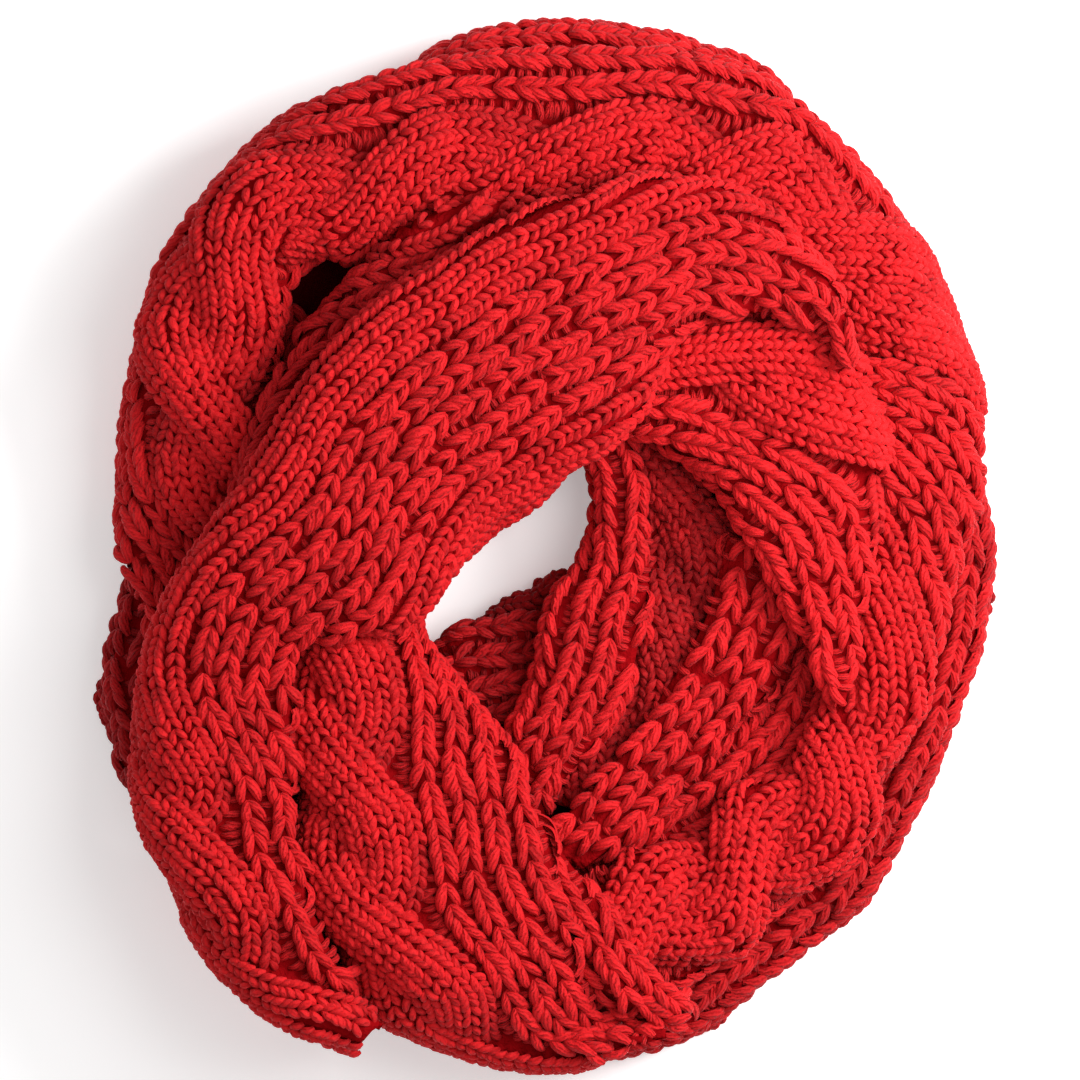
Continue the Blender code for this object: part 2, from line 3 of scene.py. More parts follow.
import bpy
import numpy as np
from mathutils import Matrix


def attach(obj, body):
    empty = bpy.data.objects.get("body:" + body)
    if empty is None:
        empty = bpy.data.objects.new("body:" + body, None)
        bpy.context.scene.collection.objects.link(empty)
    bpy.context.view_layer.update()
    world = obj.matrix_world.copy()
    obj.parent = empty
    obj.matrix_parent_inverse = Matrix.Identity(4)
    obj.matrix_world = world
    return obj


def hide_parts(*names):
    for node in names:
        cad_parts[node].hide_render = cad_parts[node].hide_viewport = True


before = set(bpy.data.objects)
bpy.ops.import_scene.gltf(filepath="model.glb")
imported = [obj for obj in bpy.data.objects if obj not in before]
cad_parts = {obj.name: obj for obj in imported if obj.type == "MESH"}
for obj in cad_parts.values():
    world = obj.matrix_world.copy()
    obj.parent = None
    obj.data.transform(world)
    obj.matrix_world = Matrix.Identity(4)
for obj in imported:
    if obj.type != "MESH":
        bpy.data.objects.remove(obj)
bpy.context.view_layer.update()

mm = 0.001
ringMiddle = np.array([-0.9, -0.5, 0.0])  # takes the tables' places to the row frame
rng = np.random.default_rng(7)

# The cloth, in millimetres: how thick it is and how a stretch of it arches and curls under.
cloth = {
    "wall": 3.6,
    "gap": 0.35,
    "squareAcross": 0.72,
    "squareUp": 0.80,
    "tuckAngle": 0.55,
    "bulgeShare": 0.34,
    "leastRise": 5.0,
    "inset": 2.0,
    "insetShare": 0.1,
    "easeAngle": 0.6,
    "easeGap": 0.6,
    "liftMargin": 0.05,
    "edgeFade": 7.0,
    "footReach": 4,
    "fineStep": 3.0,
    "fineAcross": 72,
}

# The pattern, in millimetres: a two-strand cable, then five ribs, over and over.
knit = {
    "cableWidth": 62.0,
    "ribWidth": 11.2,
    "ribs": 5,
    "repeat": 118.0,
    "ribHeight": 3.4,
    "ribSway": 5.0,
    "swayReach": 14.0,
    "strandWidth": 36.0,
    "strandHeight": 7.6,
    "strandSwing": 14.0,
    "strandLift": 2.8,
    "crossingEvery": 68.0,
}

# The height map that each stretch is draped on: its cell and reach, in millimetres.
mapCell = 2.0
mapReach = 250.0

# How many cells the drape and a lift spread over, and how often a stretch is lifted at most.
drapeRadius = 3
drapeBlur = 2
liftReach = 3
liftRounds = 12

# Spacing of a wall's points in millimetres: rough for laying the cloth, fine for what shows.
roughWall = {"alongStep": 13.0, "acrossStep": knit["ribWidth"] / 2, "insideEvery": 2, "insideAcross": 15.0}
fineWall = {
    "alongStep": 3.0,
    "acrossStep": knit["ribWidth"] / 4,
    "insideEvery": 3,
    "insideAcross": 8.0,
    "sunk": 0.9,
}

# The hidden layers, in millimetres: how far their sides lean in towards the top, how far the
# sides stop below it, and where the top's points lie, as shares of its width.
core = {"lean": 6.0, "topDrop": 4.0, "topShares": (0.2, 0.5, 0.8), "folds": 3, "foldDepth": 3.0}

# Each stretch by its node's name, lowest first.  One row for each section, from one end of it
# to the other: the two edges as seen from above (x, y, x, y), the crown's height, and the
# pattern's place on the crown.
stretches = {}

stretches["outer_rim"] = [
    (176, 48, 150, 40, 30, 94),
    (184, 22, 158, 18, 33, 94),
    (189, -5, 160, -5, 35, 94),
    (187, -25, 158, -25, 36, 94),
    (182, -50, 153, -48, 36, 94),
    (173, -75, 146, -70, 35, 94),
    (163, -102, 135, -92, 34, 94),
    (151, -126, 123, -112, 33, 94),
    (138, -150, 110, -132, 33, 94),
    (116, -169, 92, -150, 33, 94),
    (92, -187, 70, -163, 34, 94),
    (68, -206, 50, -177, 34, 94),
    (40, -217, 28, -186, 33, 94),
    (8, -219, 5, -187, 32, 94),
    (-24, -211, -18, -186, 30, 94),
    (-46, -202, -38, -178, 28, 94),
]

stretches["top_strip"] = [
    (-84, 176, -74, 154, 30, 100),
    (-64, 194, -56, 168, 34, 100),
    (-44, 209, -36, 178, 37, 100),
    (-18, 217, -12, 184, 39, 100),
    (10, 219, 12, 186, 40, 100),
    (40, 216, 36, 182, 40, 100),
    (68, 209, 60, 176, 40, 100),
    (92, 199, 80, 168, 38, 100),
    (108, 181, 92, 156, 34, 100),
    (118, 166, 102, 146, 30, 100),
]

stretches["left_ruffle"] = [
    (-174, -10, -148, -8, 24, 90),
    (-183, -35, -152, -32, 29, 90),
    (-187, -56, -154, -54, 32, 90),
    (-185, -78, -152, -76, 32, 90),
    (-180, -100, -148, -94, 30, 90),
    (-166, -117, -140, -106, 25, 90),
]

stretches["under_fold"] = [
    (-128, 104, -94, 93, 29, 98),
    (-130, 97, -90, 86, 34, 98),
    (-132, 80, -88, 70, 38, 98),
    (-134, 56, -94, 50, 38, 98),
    (-140, 26, -102, 18, 36, 98),
]

stretches["deep_inner"] = [
    (-60, -46, -66, -78, 30, 90),
    (-50, -50, -46, -88, 30, 90),
    (-36, -37, -30, -92, 31, 90),
    (-18, -29, -14, -92, 32, 90),
    (0, -25, 4, -84, 31, 90),
    (12, -16, 22, -68, 28, 90),
]

stretches["recess"] = [
    (24, 58, 78, 52, 34, 40),
    (30, 30, 86, 24, 35, 40),
    (34, 4, 92, -4, 35, 40),
    (34, -26, 90, -34, 35, 40),
    (26, -56, 78, -66, 35, 40),
    (10, -84, 58, -96, 34, 40),
    (-6, -108, 36, -120, 32, 40),
]

stretches["lower_ribs"] = [
    (98, -30, 130, -40, 36, 94),
    (94, -50, 127, -66, 39, 94),
    (82, -70, 120, -90, 41, 94),
    (64, -88, 98, -110, 42, 94),
    (44, -106, 68, -128, 40, 94),
    (20, -122, 38, -142, 36, 94),
    (0, -130, 12, -150, 30, 94),
]

stretches["inner_ribs"] = [
    (4, 58, 36, 62, 38, 96),
    (16, 38, 38, 40, 43, 96),
    (21, 20, 43, 18, 46, 96),
    (19, 2, 46, -2, 48, 96),
    (11, -15, 45, -20, 49, 96),
    (1, -28, 42, -36, 50, 96),
    (-3, -46, 38, -54, 51, 96),
    (-7, -64, 30, -72, 51, 96),
    (-17, -82, 19, -90, 49, 96),
    (-22, -98, 8, -104, 44, 96),
    (-20, -114, 2, -118, 36, 96),
]

stretches["ladder_ribs"] = [
    (74, 2, 116, -14, 38, 90),
    (66, -28, 110, -38, 45, 90),
    (52, -56, 96, -62, 50, 90),
    (36, -80, 76, -84, 53, 90),
    (20, -100, 54, -106, 52, 90),
    (4, -116, 36, -124, 46, 90),
    (-8, -128, 18, -138, 38, 90),
]

stretches["outer_turn"] = [
    (-168, -42, -136, -48, 34, -24),
    (-177, -12, -130, -14, 40, -10),
    (-180, 22, -122, 18, 47, 12),
    (-178, 52, -117, 46, 54, 24),
    (-170, 88, -113, 78, 59, 33),
    (-160, 121, -108, 106, 61, 33),
    (-140, 149, -97, 119, 62, 27),
    (-113, 175, -79, 123, 62, 19),
    (-78, 190, -56, 129, 62, 15),
    (-42, 200, -33, 134, 61, 14),
    (-4, 205, -8, 137, 60, 14),
    (34, 205, 27, 134, 60, 15),
    (68, 199, 59, 129, 60, 18),
    (98, 186, 86, 121, 60, 21),
    (128, 160, 104, 104, 59, 25),
    (150, 134, 115, 86, 58, 32),
    (163, 105, 122, 66, 57, 52),
    (174, 76, 127, 44, 56, 78),
    (181, 46, 130, 22, 55, 96),
    (180, 18, 131, 0, 54, 110),
    (172, -8, 130, -16, 54, 120),
    (167, -32, 128, -36, 54, 130),
    (159, -60, 124, -60, 54, 139),
    (149, -86, 116, -82, 54, 144),
    (134, -116, 100, -98, 54, 147),
    (114, -142, 82, -106, 54, 147),
    (90, -162, 60, -124, 53, 147),
    (66, -180, 32, -134, 51, 147),
    (42, -192, 8, -142, 46, 147),
]

stretches["second_crossing"] = [
    (-136, 0, -104, -12, 52, 105),
    (-126, 32, -92, 8, 57, 108),
    (-115, 62, -78, 36, 61, 109),
    (-103, 84, -62, 56, 64, 107),
    (-86, 102, -46, 74, 66, 94),
    (-70, 120, -30, 88, 67, 81),
    (-50, 132, -15, 98, 68, 69),
    (-26, 139, 2, 106, 68, 60),
    (-2, 142, 20, 110, 66, 55),
    (20, 141, 36, 112, 62, 52),
]

stretches["inner_right"] = [
    (18, 54, 64, 112, 60, 150),
    (36, 46, 96, 106, 66, 145),
    (58, 35, 121, 84, 68, 134),
    (74, 19, 131, 58, 69, 118),
    (84, 2, 136, 31, 68, 106),
    (93, -15, 138, 8, 66, 100),
    (103, -33, 135, -16, 62, 98),
    (111, -49, 130, -40, 56, 96),
    (118, -63, 127, -60, 50, 94),
    (121, -70, 125, -69, 42, 94),
]

stretches["hole_edge"] = [
    (-20, -116, -2, -119, 52, 104),
    (-9, -130, 11, -133, 58, 104),
    (-4, -144, 23, -148, 63, 104),
    (5, -160, 34, -163, 61, 104),
    (13, -175, 44, -177, 57, 104),
    (23, -189, 53, -187, 52, 104),
    (36, -198, 60, -192, 46, 104),
    (50, -202, 66, -195, 40, 104),
]

stretches["lower_left"] = [
    (-104, -10, -52, -12, 56, 42),
    (-104, -36, -54, -38, 62, 42),
    (-107, -62, -40, -58, 67, 47),
    (-107, -86, -24, -77, 70, 51),
    (-107, -111, -9, -98, 71, 56),
    (-104, -137, 2, -121, 71, 59),
    (-96, -164, 8, -146, 69, 57),
    (-81, -187, 13, -169, 63, 54),
    (-50, -199, 20, -190, 55, 62),
    (-18, -209, 30, -203, 46, 68),
    (8, -211, 42, -203, 40, 74),
    (30, -209, 52, -201, 34, 80),
]

stretches["crossing"] = [
    (129, 72, 121, 71, 64, 79),
    (126, 90, 108, 87, 72, 81),
    (117, 108, 88, 92, 78, 83),
    (98, 128, 67, 92, 83, 84),
    (73, 141, 52, 84, 86, 84),
    (46, 144, 42, 68, 88, 84),
    (20, 139, 33, 54, 90, 84),
    (-3, 131, 22, 43, 91, 84),
    (-25, 121, 6, 34, 92, 84),
    (-45, 110, -8, 20, 92, 84),
    (-65, 97, -24, 10, 92, 84),
    (-82, 79, -34, 1, 92, 84),
    (-98, 58, -44, -10, 91, 84),
    (-109, 40, -52, -23, 90, 82),
    (-119, 22, -62, -33, 88, 82),
    (-131, 5, -77, -38, 86, 82),
    (-143, -12, -92, -41, 83, 80),
    (-155, -32, -101, -48, 80, 78),
    (-163, -55, -103, -62, 77, 76),
    (-166, -80, -103, -82, 75, 66),
    (-164, -105, -102, -104, 72, 55),
    (-158, -130, -100, -128, 69, 54),
    (-146, -154, -95, -148, 64, 53),
    (-129, -176, -86, -167, 57, 52),
    (-107, -195, -78, -184, 48, 51),
    (-92, -201, -72, -192, 40, 50),
    (-78, -204, -65, -198, 31, 50),
]

# The hidden layers: the side towards the hole, the outer side, and the height.
hiddenLayers = [
    (-66, -36, -158, -52, 26),
    (-62, -10, -162, 0, 26),
    (-50, 14, -158, 50, 26),
    (-34, 28, -138, 108, 27),
    (-14, 44, -84, 158, 28),
    (6, 54, 0, 186, 28),
    (26, 52, 82, 170, 28),
    (35, 34, 138, 108, 28),
    (36, 12, 158, 50, 27),
    (33, -10, 165, -12, 26),
    (22, -30, 152, -68, 26),
    (4, -42, 116, -126, 26),
    (-18, -46, 46, -186, 26),
    (-38, -56, -30, -188, 26),
    (-52, -66, -98, -166, 26),
    (-66, -62, -138, -112, 26),
]

# Where cables cross: at each distance along a stretch, how many half turns they have made.
outerCrossings = [
    (0, 0), (136, 2), (204, 3), (271, 4), (358, 5), (415, 6),
    (484, 7), (650, 7), (716, 8), (766, 9), (826, 10),
]
lowerCrossings = [(-7, 0), (55, 1), (117, 2), (180, 3), (250, 4), (310, 5)]
topCrossings = [(0, 0), (380, 0), (440, 1), (500, 2), (560, 3)]
evenCrossings = [(turns * knit["crossingEvery"], turns) for turns in (-5, 10)]

crossingsOf = {"outer_turn": outerCrossings, "lower_left": lowerCrossings, "crossing": topCrossings}


def hermite(values, knots, at):
    # A smooth curve through a table's rows.
    slopes = np.gradient(values, knots, axis=0)
    i = np.clip(np.searchsorted(knots, at, side="right") - 1, 0, len(knots) - 2)
    span = (knots[i + 1] - knots[i])[:, None]
    t = (at - knots[i])[:, None] / span
    return (
        (2 * t**3 - 3 * t**2 + 1) * values[i]
        + (t**3 - 2 * t**2 + t) * span * slopes[i]
        + (3 * t**2 - 2 * t**3) * values[i + 1]
        + (t**3 - t**2) * span * slopes[i + 1]
    )


def lengthsAlong(points):
    steps = np.linalg.norm(np.diff(points, axis=0), axis=1)
    return np.concatenate([[0.0], np.cumsum(steps)])


def spotsOn(points, faces):
    # Places spread over each face, close enough to fill the height map.
    corners = points[faces]
    edges = np.linalg.norm(corners - np.roll(corners, 1, axis=1), axis=2)
    count = int(edges.max() / (0.8 * mapCell)) + 1
    share = [(i, j) for i in range(count + 1) for j in range(count + 1 - i)]
    one, two = np.array(share).T / count
    weights = np.stack([one, two, 1 - one - two], axis=1)
    return np.einsum("sc,fck->fsk", weights, corners)


def widened(heights, reach, pick=np.max):
    # The map with each cell set from the square of cells round it.
    out = heights
    for axis in (0, 1):
        out = pick([np.roll(out, k, axis) for k in range(-reach, reach + 1)], axis=0)
    return out


def cellsOf(x, y):
    last = int(2 * mapReach / mapCell)
    i = np.clip(np.rint((x + mapReach) / mapCell), 0, last).astype(int)
    j = np.clip(np.rint((y + mapReach) / mapCell), 0, last).astype(int)
    return i, j


def readMap(heights, x, y):
    last = len(heights) - 1.001
    u = np.clip((x + mapReach) / mapCell, 0, last)
    v = np.clip((y + mapReach) / mapCell, 0, last)
    i, j = u.astype(int), v.astype(int)
    s, t = u - i, v - j
    low = heights[i, j] * (1 - s) + heights[i + 1, j] * s
    high = heights[i, j + 1] * (1 - s) + heights[i + 1, j + 1] * s
    return low * (1 - t) + high * t


def topOf(points, faces):
    count = int(2 * mapReach / mapCell) + 1
    top = np.zeros((count, count))
    spots = spotsOn(points, faces).reshape(-1, 3)
    np.maximum.at(top, cellsOf(spots[:, 0], spots[:, 1]), spots[:, 2])
    return top


class Ground:
    # The top of all the cloth laid so far.
    def __init__(self, top):
        self.top = top
        self.update()

    def update(self):
        self.tight = widened(self.top, 1)
        self.cover = widened(widened(self.top, drapeRadius), drapeBlur, np.mean)

    def add(self, top):
        self.top = np.maximum(self.top, top)
        self.update()

    def liftNeeded(self, points, faces):
        spots = spotsOn(points, faces)
        need = readMap(self.tight, spots[..., 0], spots[..., 1])
        need = (need + cloth["gap"] - spots[..., 2]).max(axis=1)
        lift = np.zeros(self.top.shape)
        low = need > 0
        for corner in faces[low].T:
            cell = cellsOf(points[corner, 0], points[corner, 1])
            np.maximum.at(lift, cell, need[low] + cloth["liftMargin"])
        return widened(widened(lift, liftReach), liftReach, np.mean), need.max()


def strandTurn(distance, crossings):
    marks = np.array(crossings, float)
    return pi * np.interp(distance, marks[:, 0], marks[:, 1])


def swayOf(place, angle):
    # How far a rib leans to the cables beside it where their strands cross.
    near = np.exp(-np.abs(place - knit["cableWidth"]) / knit["swayReach"])
    far = np.exp(-np.abs(knit["repeat"] - place) / knit["swayReach"])
    return knit["ribSway"] * np.sin(angle) ** 2 * (far - near)


def strandTop(side, angle, way, hand):
    # Height of one strand of the cable, and whether it is there at all.
    middle = way * knit["strandSwing"] * np.cos(angle)
    turned = np.sin(angle)
    lift = hand * way * knit["strandLift"] * np.sign(turned) * np.sqrt(np.abs(turned))
    inside = 1 - ((side - middle) / (knit["strandWidth"] / 2)) ** 2
    height = knit["strandHeight"] * np.sqrt(np.clip(inside, 0, 1)) + lift
    return np.where(inside > 0, height, 0), inside > 0


def ribTop(place, angle):
    # Height of the ribs at a place across the pattern.
    still = place - swayOf(place - swayOf(place, angle), angle)
    rib = (still - knit["cableWidth"]) / knit["ribWidth"]
    between = (rib > 0) & (rib < knit["ribs"])
    return np.where(between, knit["ribHeight"] * np.sin(pi * rib) ** 2, 0)


def relief(across, angle, hand):
    # Height of the whole pattern above the smooth cloth.
    place = np.mod(across, knit["repeat"])
    side = place - knit["cableWidth"] / 2
    raised = np.maximum(ribTop(place, angle), ribTop(place + knit["repeat"], angle))
    for way in (1, -1):
        height, inside = strandTop(side, angle, way, hand)
        raised = np.where(inside, np.maximum(raised, height), raised)
    return raised


def evened(line):
    # The heights under an edge, kept high and then smoothed along it.
    reach = cloth["footReach"]
    for pick in (np.max, np.mean):
        wide = np.pad(line, ((reach, reach), (0, 0)), mode="edge")
        line = pick([wide[k : k + len(line)] for k in range(2 * reach + 1)], axis=0)
    return line


class Band:
    # The smooth surface of one stretch, and any point of it by its place on the cloth.
    def __init__(self, rows, crossings, ground):
        table = np.array(rows, float)
        knots = lengthsAlong((table[:, 0:2] + table[:, 2:4]) / 2)
        self.u = np.linspace(0, knots[-1], int(knots[-1] / cloth["fineStep"]) + 1)
        self.crossings = crossings
        row = hermite(table, knots, self.u)
        self.points = self.sections(row, ground)
        self.smoothOut()
        self.evenOut(row[:, 5])
        self.normals = self.facing()

    def sections(self, row, ground):
        # An arch over what lies below, with both edges curled under.
        first, second, top = row[:, 0:2], row[:, 2:4], row[:, 4:5]
        width = np.linalg.norm(second - first, axis=1, keepdims=True)
        inward = (second - first) * np.minimum(cloth["inset"] / width, cloth["insetShare"])
        first, second = first + inward, second - inward
        tuck = cloth["tuckAngle"]
        angle = np.linspace(-tuck, pi + tuck, 2 * cloth["fineAcross"] + 1)
        cosine, sine = np.cos(angle), np.sin(angle)
        across = -np.sign(cosine) * np.abs(cosine) ** cloth["squareAcross"]
        up = np.sign(sine) * np.abs(sine) ** cloth["squareUp"]
        middle, half = (first + second) / 2, (second - first) / 2
        plan = middle[:, None, :] + across[None, :, None] * half[:, None, :]
        x, y = plan[..., 0], plan[..., 1]
        below = readMap(ground.cover, x, y)
        footFirst = evened(below[:, :1]) + cloth["gap"]
        footSecond = evened(below[:, -1:]) + cloth["gap"]
        crown = np.maximum(top, np.maximum(footFirst, footSecond) + cloth["leastRise"])
        foot = np.where(angle < pi / 2, footFirst, footSecond)
        bulge = foot + cloth["bulgeShare"] * (crown - foot)
        sink = np.minimum(up, 0) / up[0] * -1
        height = np.where(up > 0, bulge + up * (crown - bulge), bulge + sink * (bulge - foot))
        ease = np.clip(np.minimum(angle, pi - angle) / cloth["easeAngle"], 0, 1)
        lifted = below + cloth["gap"] + cloth["wall"] * ease + cloth["easeGap"] * ease
        return np.stack([x, y, np.maximum(height, lifted)], axis=2)

    def smoothOut(self):
        z = self.points[..., 2]
        for _ in range(2):
            wide = np.pad(z, ((1, 1), (1, 1)), mode="edge")
            mean = (wide[:-2, 1:-1] + wide[2:, 1:-1] + wide[1:-1, :-2] + wide[1:-1, 2:]) / 4
            z[:, 2:-2] = np.maximum(z, mean)[:, 2:-2]

    def evenOut(self, centre):
        # Points at even distances round each section.
        count = cloth["fineAcross"]
        even = np.empty((len(self.u), count + 1, 3))
        self.round = np.empty(len(self.u))
        self.start = np.empty(len(self.u))
        for i, section in enumerate(self.points):
            place = lengthsAlong(section)
            self.round[i] = place[-1]
            self.start[i] = centre[i] - place[count]
            at = np.linspace(0, place[-1], count + 1)
            for k in range(3):
                even[i, :, k] = np.interp(at, place, section[:, k])
        self.points = even

    def facing(self):
        ahead = np.gradient(self.points, axis=0)
        aside = np.gradient(self.points, axis=1)
        normal = np.cross(aside, ahead)
        normal /= np.maximum(np.linalg.norm(normal, axis=2, keepdims=True), 1e-9)
        self.mirrored = normal[:, cloth["fineAcross"] // 2, 2].mean() < 0
        self.hand = -1 if self.mirrored else 1
        return self.hand * normal

    def at(self, u, across):
        # The point and the way out at u along the stretch and a place across the pattern.
        count = cloth["fineAcross"]
        i = np.clip(u / self.u[-1] * (len(self.u) - 1), 0, len(self.u) - 1.0001)
        start = np.interp(u, self.u, self.start)
        full = np.interp(u, self.u, self.round)
        j = np.clip((across - start) / full * count, 0, count - 0.0001)
        a, b = i.astype(int), j.astype(int)
        s, t = (i - a)[..., None], (j - b)[..., None]
        found = []
        for grid in (self.points, self.normals):
            one = grid[a, b] * (1 - s) + grid[a + 1, b] * s
            two = grid[a, b + 1] * (1 - s) + grid[a + 1, b + 1] * s
            found.append(one * (1 - t) + two * t)
        found[1] /= np.linalg.norm(found[1], axis=-1, keepdims=True)
        return found

    def placesAcross(self, u, step):
        start = float(np.interp(u, self.u, self.start))
        end = start + float(np.interp(u, self.u, self.round))
        inner = np.arange(np.ceil((start + 0.45 * step) / step), (end - 0.45 * step) / step)
        return np.concatenate([[start], inner * step, [end]])

    def fromEdge(self, u, across):
        start = np.interp(u, self.u, self.start)
        full = np.interp(u, self.u, self.round)
        return np.minimum(across - start, start + full - across)

    def raised(self, u, across):
        fade = np.clip(self.fromEdge(u, across) / cloth["edgeFade"], 0, 1)
        return relief(across, strandTurn(u, self.crossings), self.hand) * fade

    def lift(self, amount):
        self.points[..., 2] += readMap(amount, self.points[..., 0], self.points[..., 1])
        self.normals = self.facing()


def zipLines(first, second, firstAt, secondAt):
    # Triangles between two rows of points, whose places say which come next.
    faces = []
    i = j = 0
    while i < len(first) - 1 or j < len(second) - 1:
        takeFirst = j == len(second) - 1 or (
            i < len(first) - 1 and firstAt[i + 1] <= secondAt[j + 1]
        )
        if takeFirst:
            faces.append((first[i], first[i + 1], second[j]))
            i += 1
        else:
            faces.append((first[i], second[j + 1], second[j]))
            j += 1
    return faces


def wallOf(band, alongStep, acrossStep, insideEvery, insideAcross, sunk=0.0):
    # A stretch as a closed wall, with the pattern raised on its outer side.
    points, faces = [], []

    def line(u, step, inside):
        across = band.placesAcross(u, step)
        place, normal = band.at(np.full(len(across), u), across)
        if inside:
            depth = -cloth["wall"]
        else:
            depth = band.raised(u, across)[:, None] - sunk
        first = len(points)
        points.extend(place + normal * depth)
        return list(range(first, len(points))), across

    count = max(4, int(round(band.u[-1] / alongStep / insideEvery)) * insideEvery)
    stations = np.linspace(0, band.u[-1], count + 1)
    outer = [line(u, acrossStep, False) for u in stations]
    inner = [line(u, insideAcross, True) for u in stations[::insideEvery]]
    for here, there in zip(outer, outer[1:]):
        faces += zipLines(here[0], there[0], here[1], there[1])
    for here, there in zip(inner, inner[1:]):
        faces += [f[::-1] for f in zipLines(here[0], there[0], here[1], there[1])]
    innerAt = stations[::insideEvery]
    for end, flip in ((0, True), (-1, False)):
        edgeOut = [ids[end] for ids, _ in outer]
        edgeIn = [ids[end] for ids, _ in inner]
        rim = zipLines(edgeIn, edgeOut, innerAt, stations)
        faces += [f[::-1] for f in rim] if flip else rim
    for end, flip in ((0, True), (-1, False)):
        cap = zipLines(outer[end][0], inner[end][0], outer[end][1], inner[end][1])
        faces += [f[::-1] for f in cap] if flip else cap
    if band.mirrored:
        faces = [f[::-1] for f in faces]
    return np.array(points), np.array(faces)


def hiddenRows(stations):
    # The hidden layers' table, smoothed and closed into a ring.
    table = np.array(hiddenLayers + hiddenLayers[:1], float)
    rounds = np.concatenate([table[-4:-1], table, table[1:4]])
    knots = lengthsAlong((rounds[:, 0:2] + rounds[:, 2:4]) / 2)
    at = np.linspace(knots[3], knots[-4], stations + 1)[:-1]
    return hermite(rounds, knots, at)


def hiddenSolid(stations, foldSteps):
    # The hidden layers as one low ring, with folds down both sides.
    lean, drop = core["lean"], core["topDrop"]
    height = np.linspace(0, 1, foldSteps * core["folds"] + 1)
    edge = core["foldDepth"] * np.abs(np.sin(pi * core["folds"] * height))
    points = []
    for holeX, holeY, outerX, outerY, top in hiddenRows(stations):
        hole, outer = np.array([holeX, holeY]), np.array([outerX, outerY])
        width = np.linalg.norm(outer - hole)
        away = (outer - hole) / width
        for h, bulge in zip(height, edge):
            points.append((*(hole + away * (lean * h**2 - bulge)), h * (top - drop)))
        for share in core["topShares"]:
            points.append((*(hole + away * (lean + share * (width - 2 * lean))), top))
        for h, bulge in zip(height[::-1], edge[::-1]):
            points.append((*(outer - away * (lean * h**2 - bulge)), h * (top - drop)))
    per = len(points) // stations
    faces = []
    for i in range(stations):
        for j in range(per):
            a, b = i * per + j, i * per + (j + 1) % per
            c = (i + 1) % stations * per + (j + 1) % per
            d = (i + 1) % stations * per + j
            faces += [(a, d, c), (a, c, b)]
    return np.array(points), np.array(faces)


# The cloth is laid down again here just as in the part, so that both have one shape.
ground = Ground(topOf(*hiddenSolid(stations=44, foldSteps=2)))
bands, tops = {}, {}
lowest = np.full(ground.top.shape, mapReach)
for name, rows in stretches.items():
    band = Band(rows, crossingsOf.get(name, evenCrossings), ground)
    for _ in range(liftRounds):
        points, faces = wallOf(band, **roughWall)
        amount, most = ground.liftNeeded(points, faces)
        if most <= 0:
            break
        band.lift(amount)
    bands[name] = band
    tops[name] = topOf(points, faces)
    spots = spotsOn(points, faces).reshape(-1, 3)
    np.minimum.at(lowest, cellsOf(spots[:, 0], spots[:, 1]), spots[:, 2])
    ground.add(tops[name])
print("laid", len(bands), "stretches")

# The yarn draws the cable's strands in, so that a deeper crease lies between them.
knit.update({"strandWidth": 33.0, "strandHeight": 8.0, "strandLift": 3.0})

# How many cells the yarn goes on under the cloth laid later; low edges show from the side.
usualReach = 4
underReach = {"top_strip": 10, "left_ruffle": 10, "outer_rim": 8}


def coverOver(name):
    # The cloth laid later, drawn in at its edges, so that what shows near them stays.
    names = list(bands)
    later = names[names.index(name) + 1 :]
    cover = np.zeros(ground.top.shape)
    for other in later:
        drawnIn = widened(tops[other], 1)
        drawnIn = widened(drawnIn, underReach.get(name, usualReach), np.min)
        cover = np.maximum(cover, drawnIn)
    return cover


# The yarn's colours and surface; ply is how many strands show round it, and the scales are
# those of its noises, to the metre or, for the streaks, to once round and to the millimetre.
yarn = {
    "bright": (0.64, 0.0095, 0.0125),
    "dim": (0.22, 0.0022, 0.0036),
    # Painted dark, as painted shade in the gaps between the stitches.
    "under": (0.24, 0.0026, 0.0042),
    # Nearly black, as painted shade on the hidden layers deep under the cloth.
    "hidden": (0.05, 0.0008, 0.0012),
    "roughness": 0.72,
    "specular": 0.15,
    "sheen": 0.12,
    "sheenRoughness": 0.45,
    "sheenTint": (1.0, 0.18, 0.20, 1.0),
    "plainDepth": 0.7,
    "ribPly": 4.0,
    "plainPly": 2.5,
    "twist": 0.07,
    "plyDepth": 0.36,
    "uvShift": 7.0,
    # Darkens the yarn between its plies, as painted shade in the grooves, and along its fibre streaks.
    "grooveShadeAndStreaks": 0.24,
    "streaks": 0.45,
    "fuzzDepth": 0.25,
    "fuzzScale": 1500.0,
    "mottle": 0.5,
    "mottleScale": 700.0,
    "unevenScale": 260.0,
    "streakScales": (12.0, 0.45, 1.0),
    "toneDrop": 0.25,
    "lumpScale": 420.0,
    "lumpDepth": 1.6,
}


def node(tree, kind, **settings):
    made = tree.nodes.new(kind)
    for key, value in settings.items():
        setattr(made, key, value)
    return made


def noise(tree, place, scale, detail=2.0):
    made = node(tree, "ShaderNodeTexNoise")
    made.inputs["Scale"].default_value = scale
    made.inputs["Detail"].default_value = detail
    tree.links.new(place, made.inputs["Vector"])
    return made.outputs[0]


def bumpOf(tree, height, depth, under=None):
    # A bump of a depth in millimetres, on top of the one under it.
    made = node(tree, "ShaderNodeBump")
    made.inputs["Strength"].default_value = 1.0
    made.inputs["Distance"].default_value = depth * mm
    tree.links.new(height, made.inputs["Height"])
    if under is not None:
        tree.links.new(under, made.inputs["Normal"])
    return made.outputs[0]


def maths(tree, operation, first, second=None):
    made = node(tree, "ShaderNodeMath", operation=operation)
    for index, value in enumerate((first, second)):
        if value is None:
            continue
        if isinstance(value, (int, float)):
            made.inputs[index].default_value = value
        else:
            tree.links.new(value, made.inputs[index])
    return made.outputs[0]


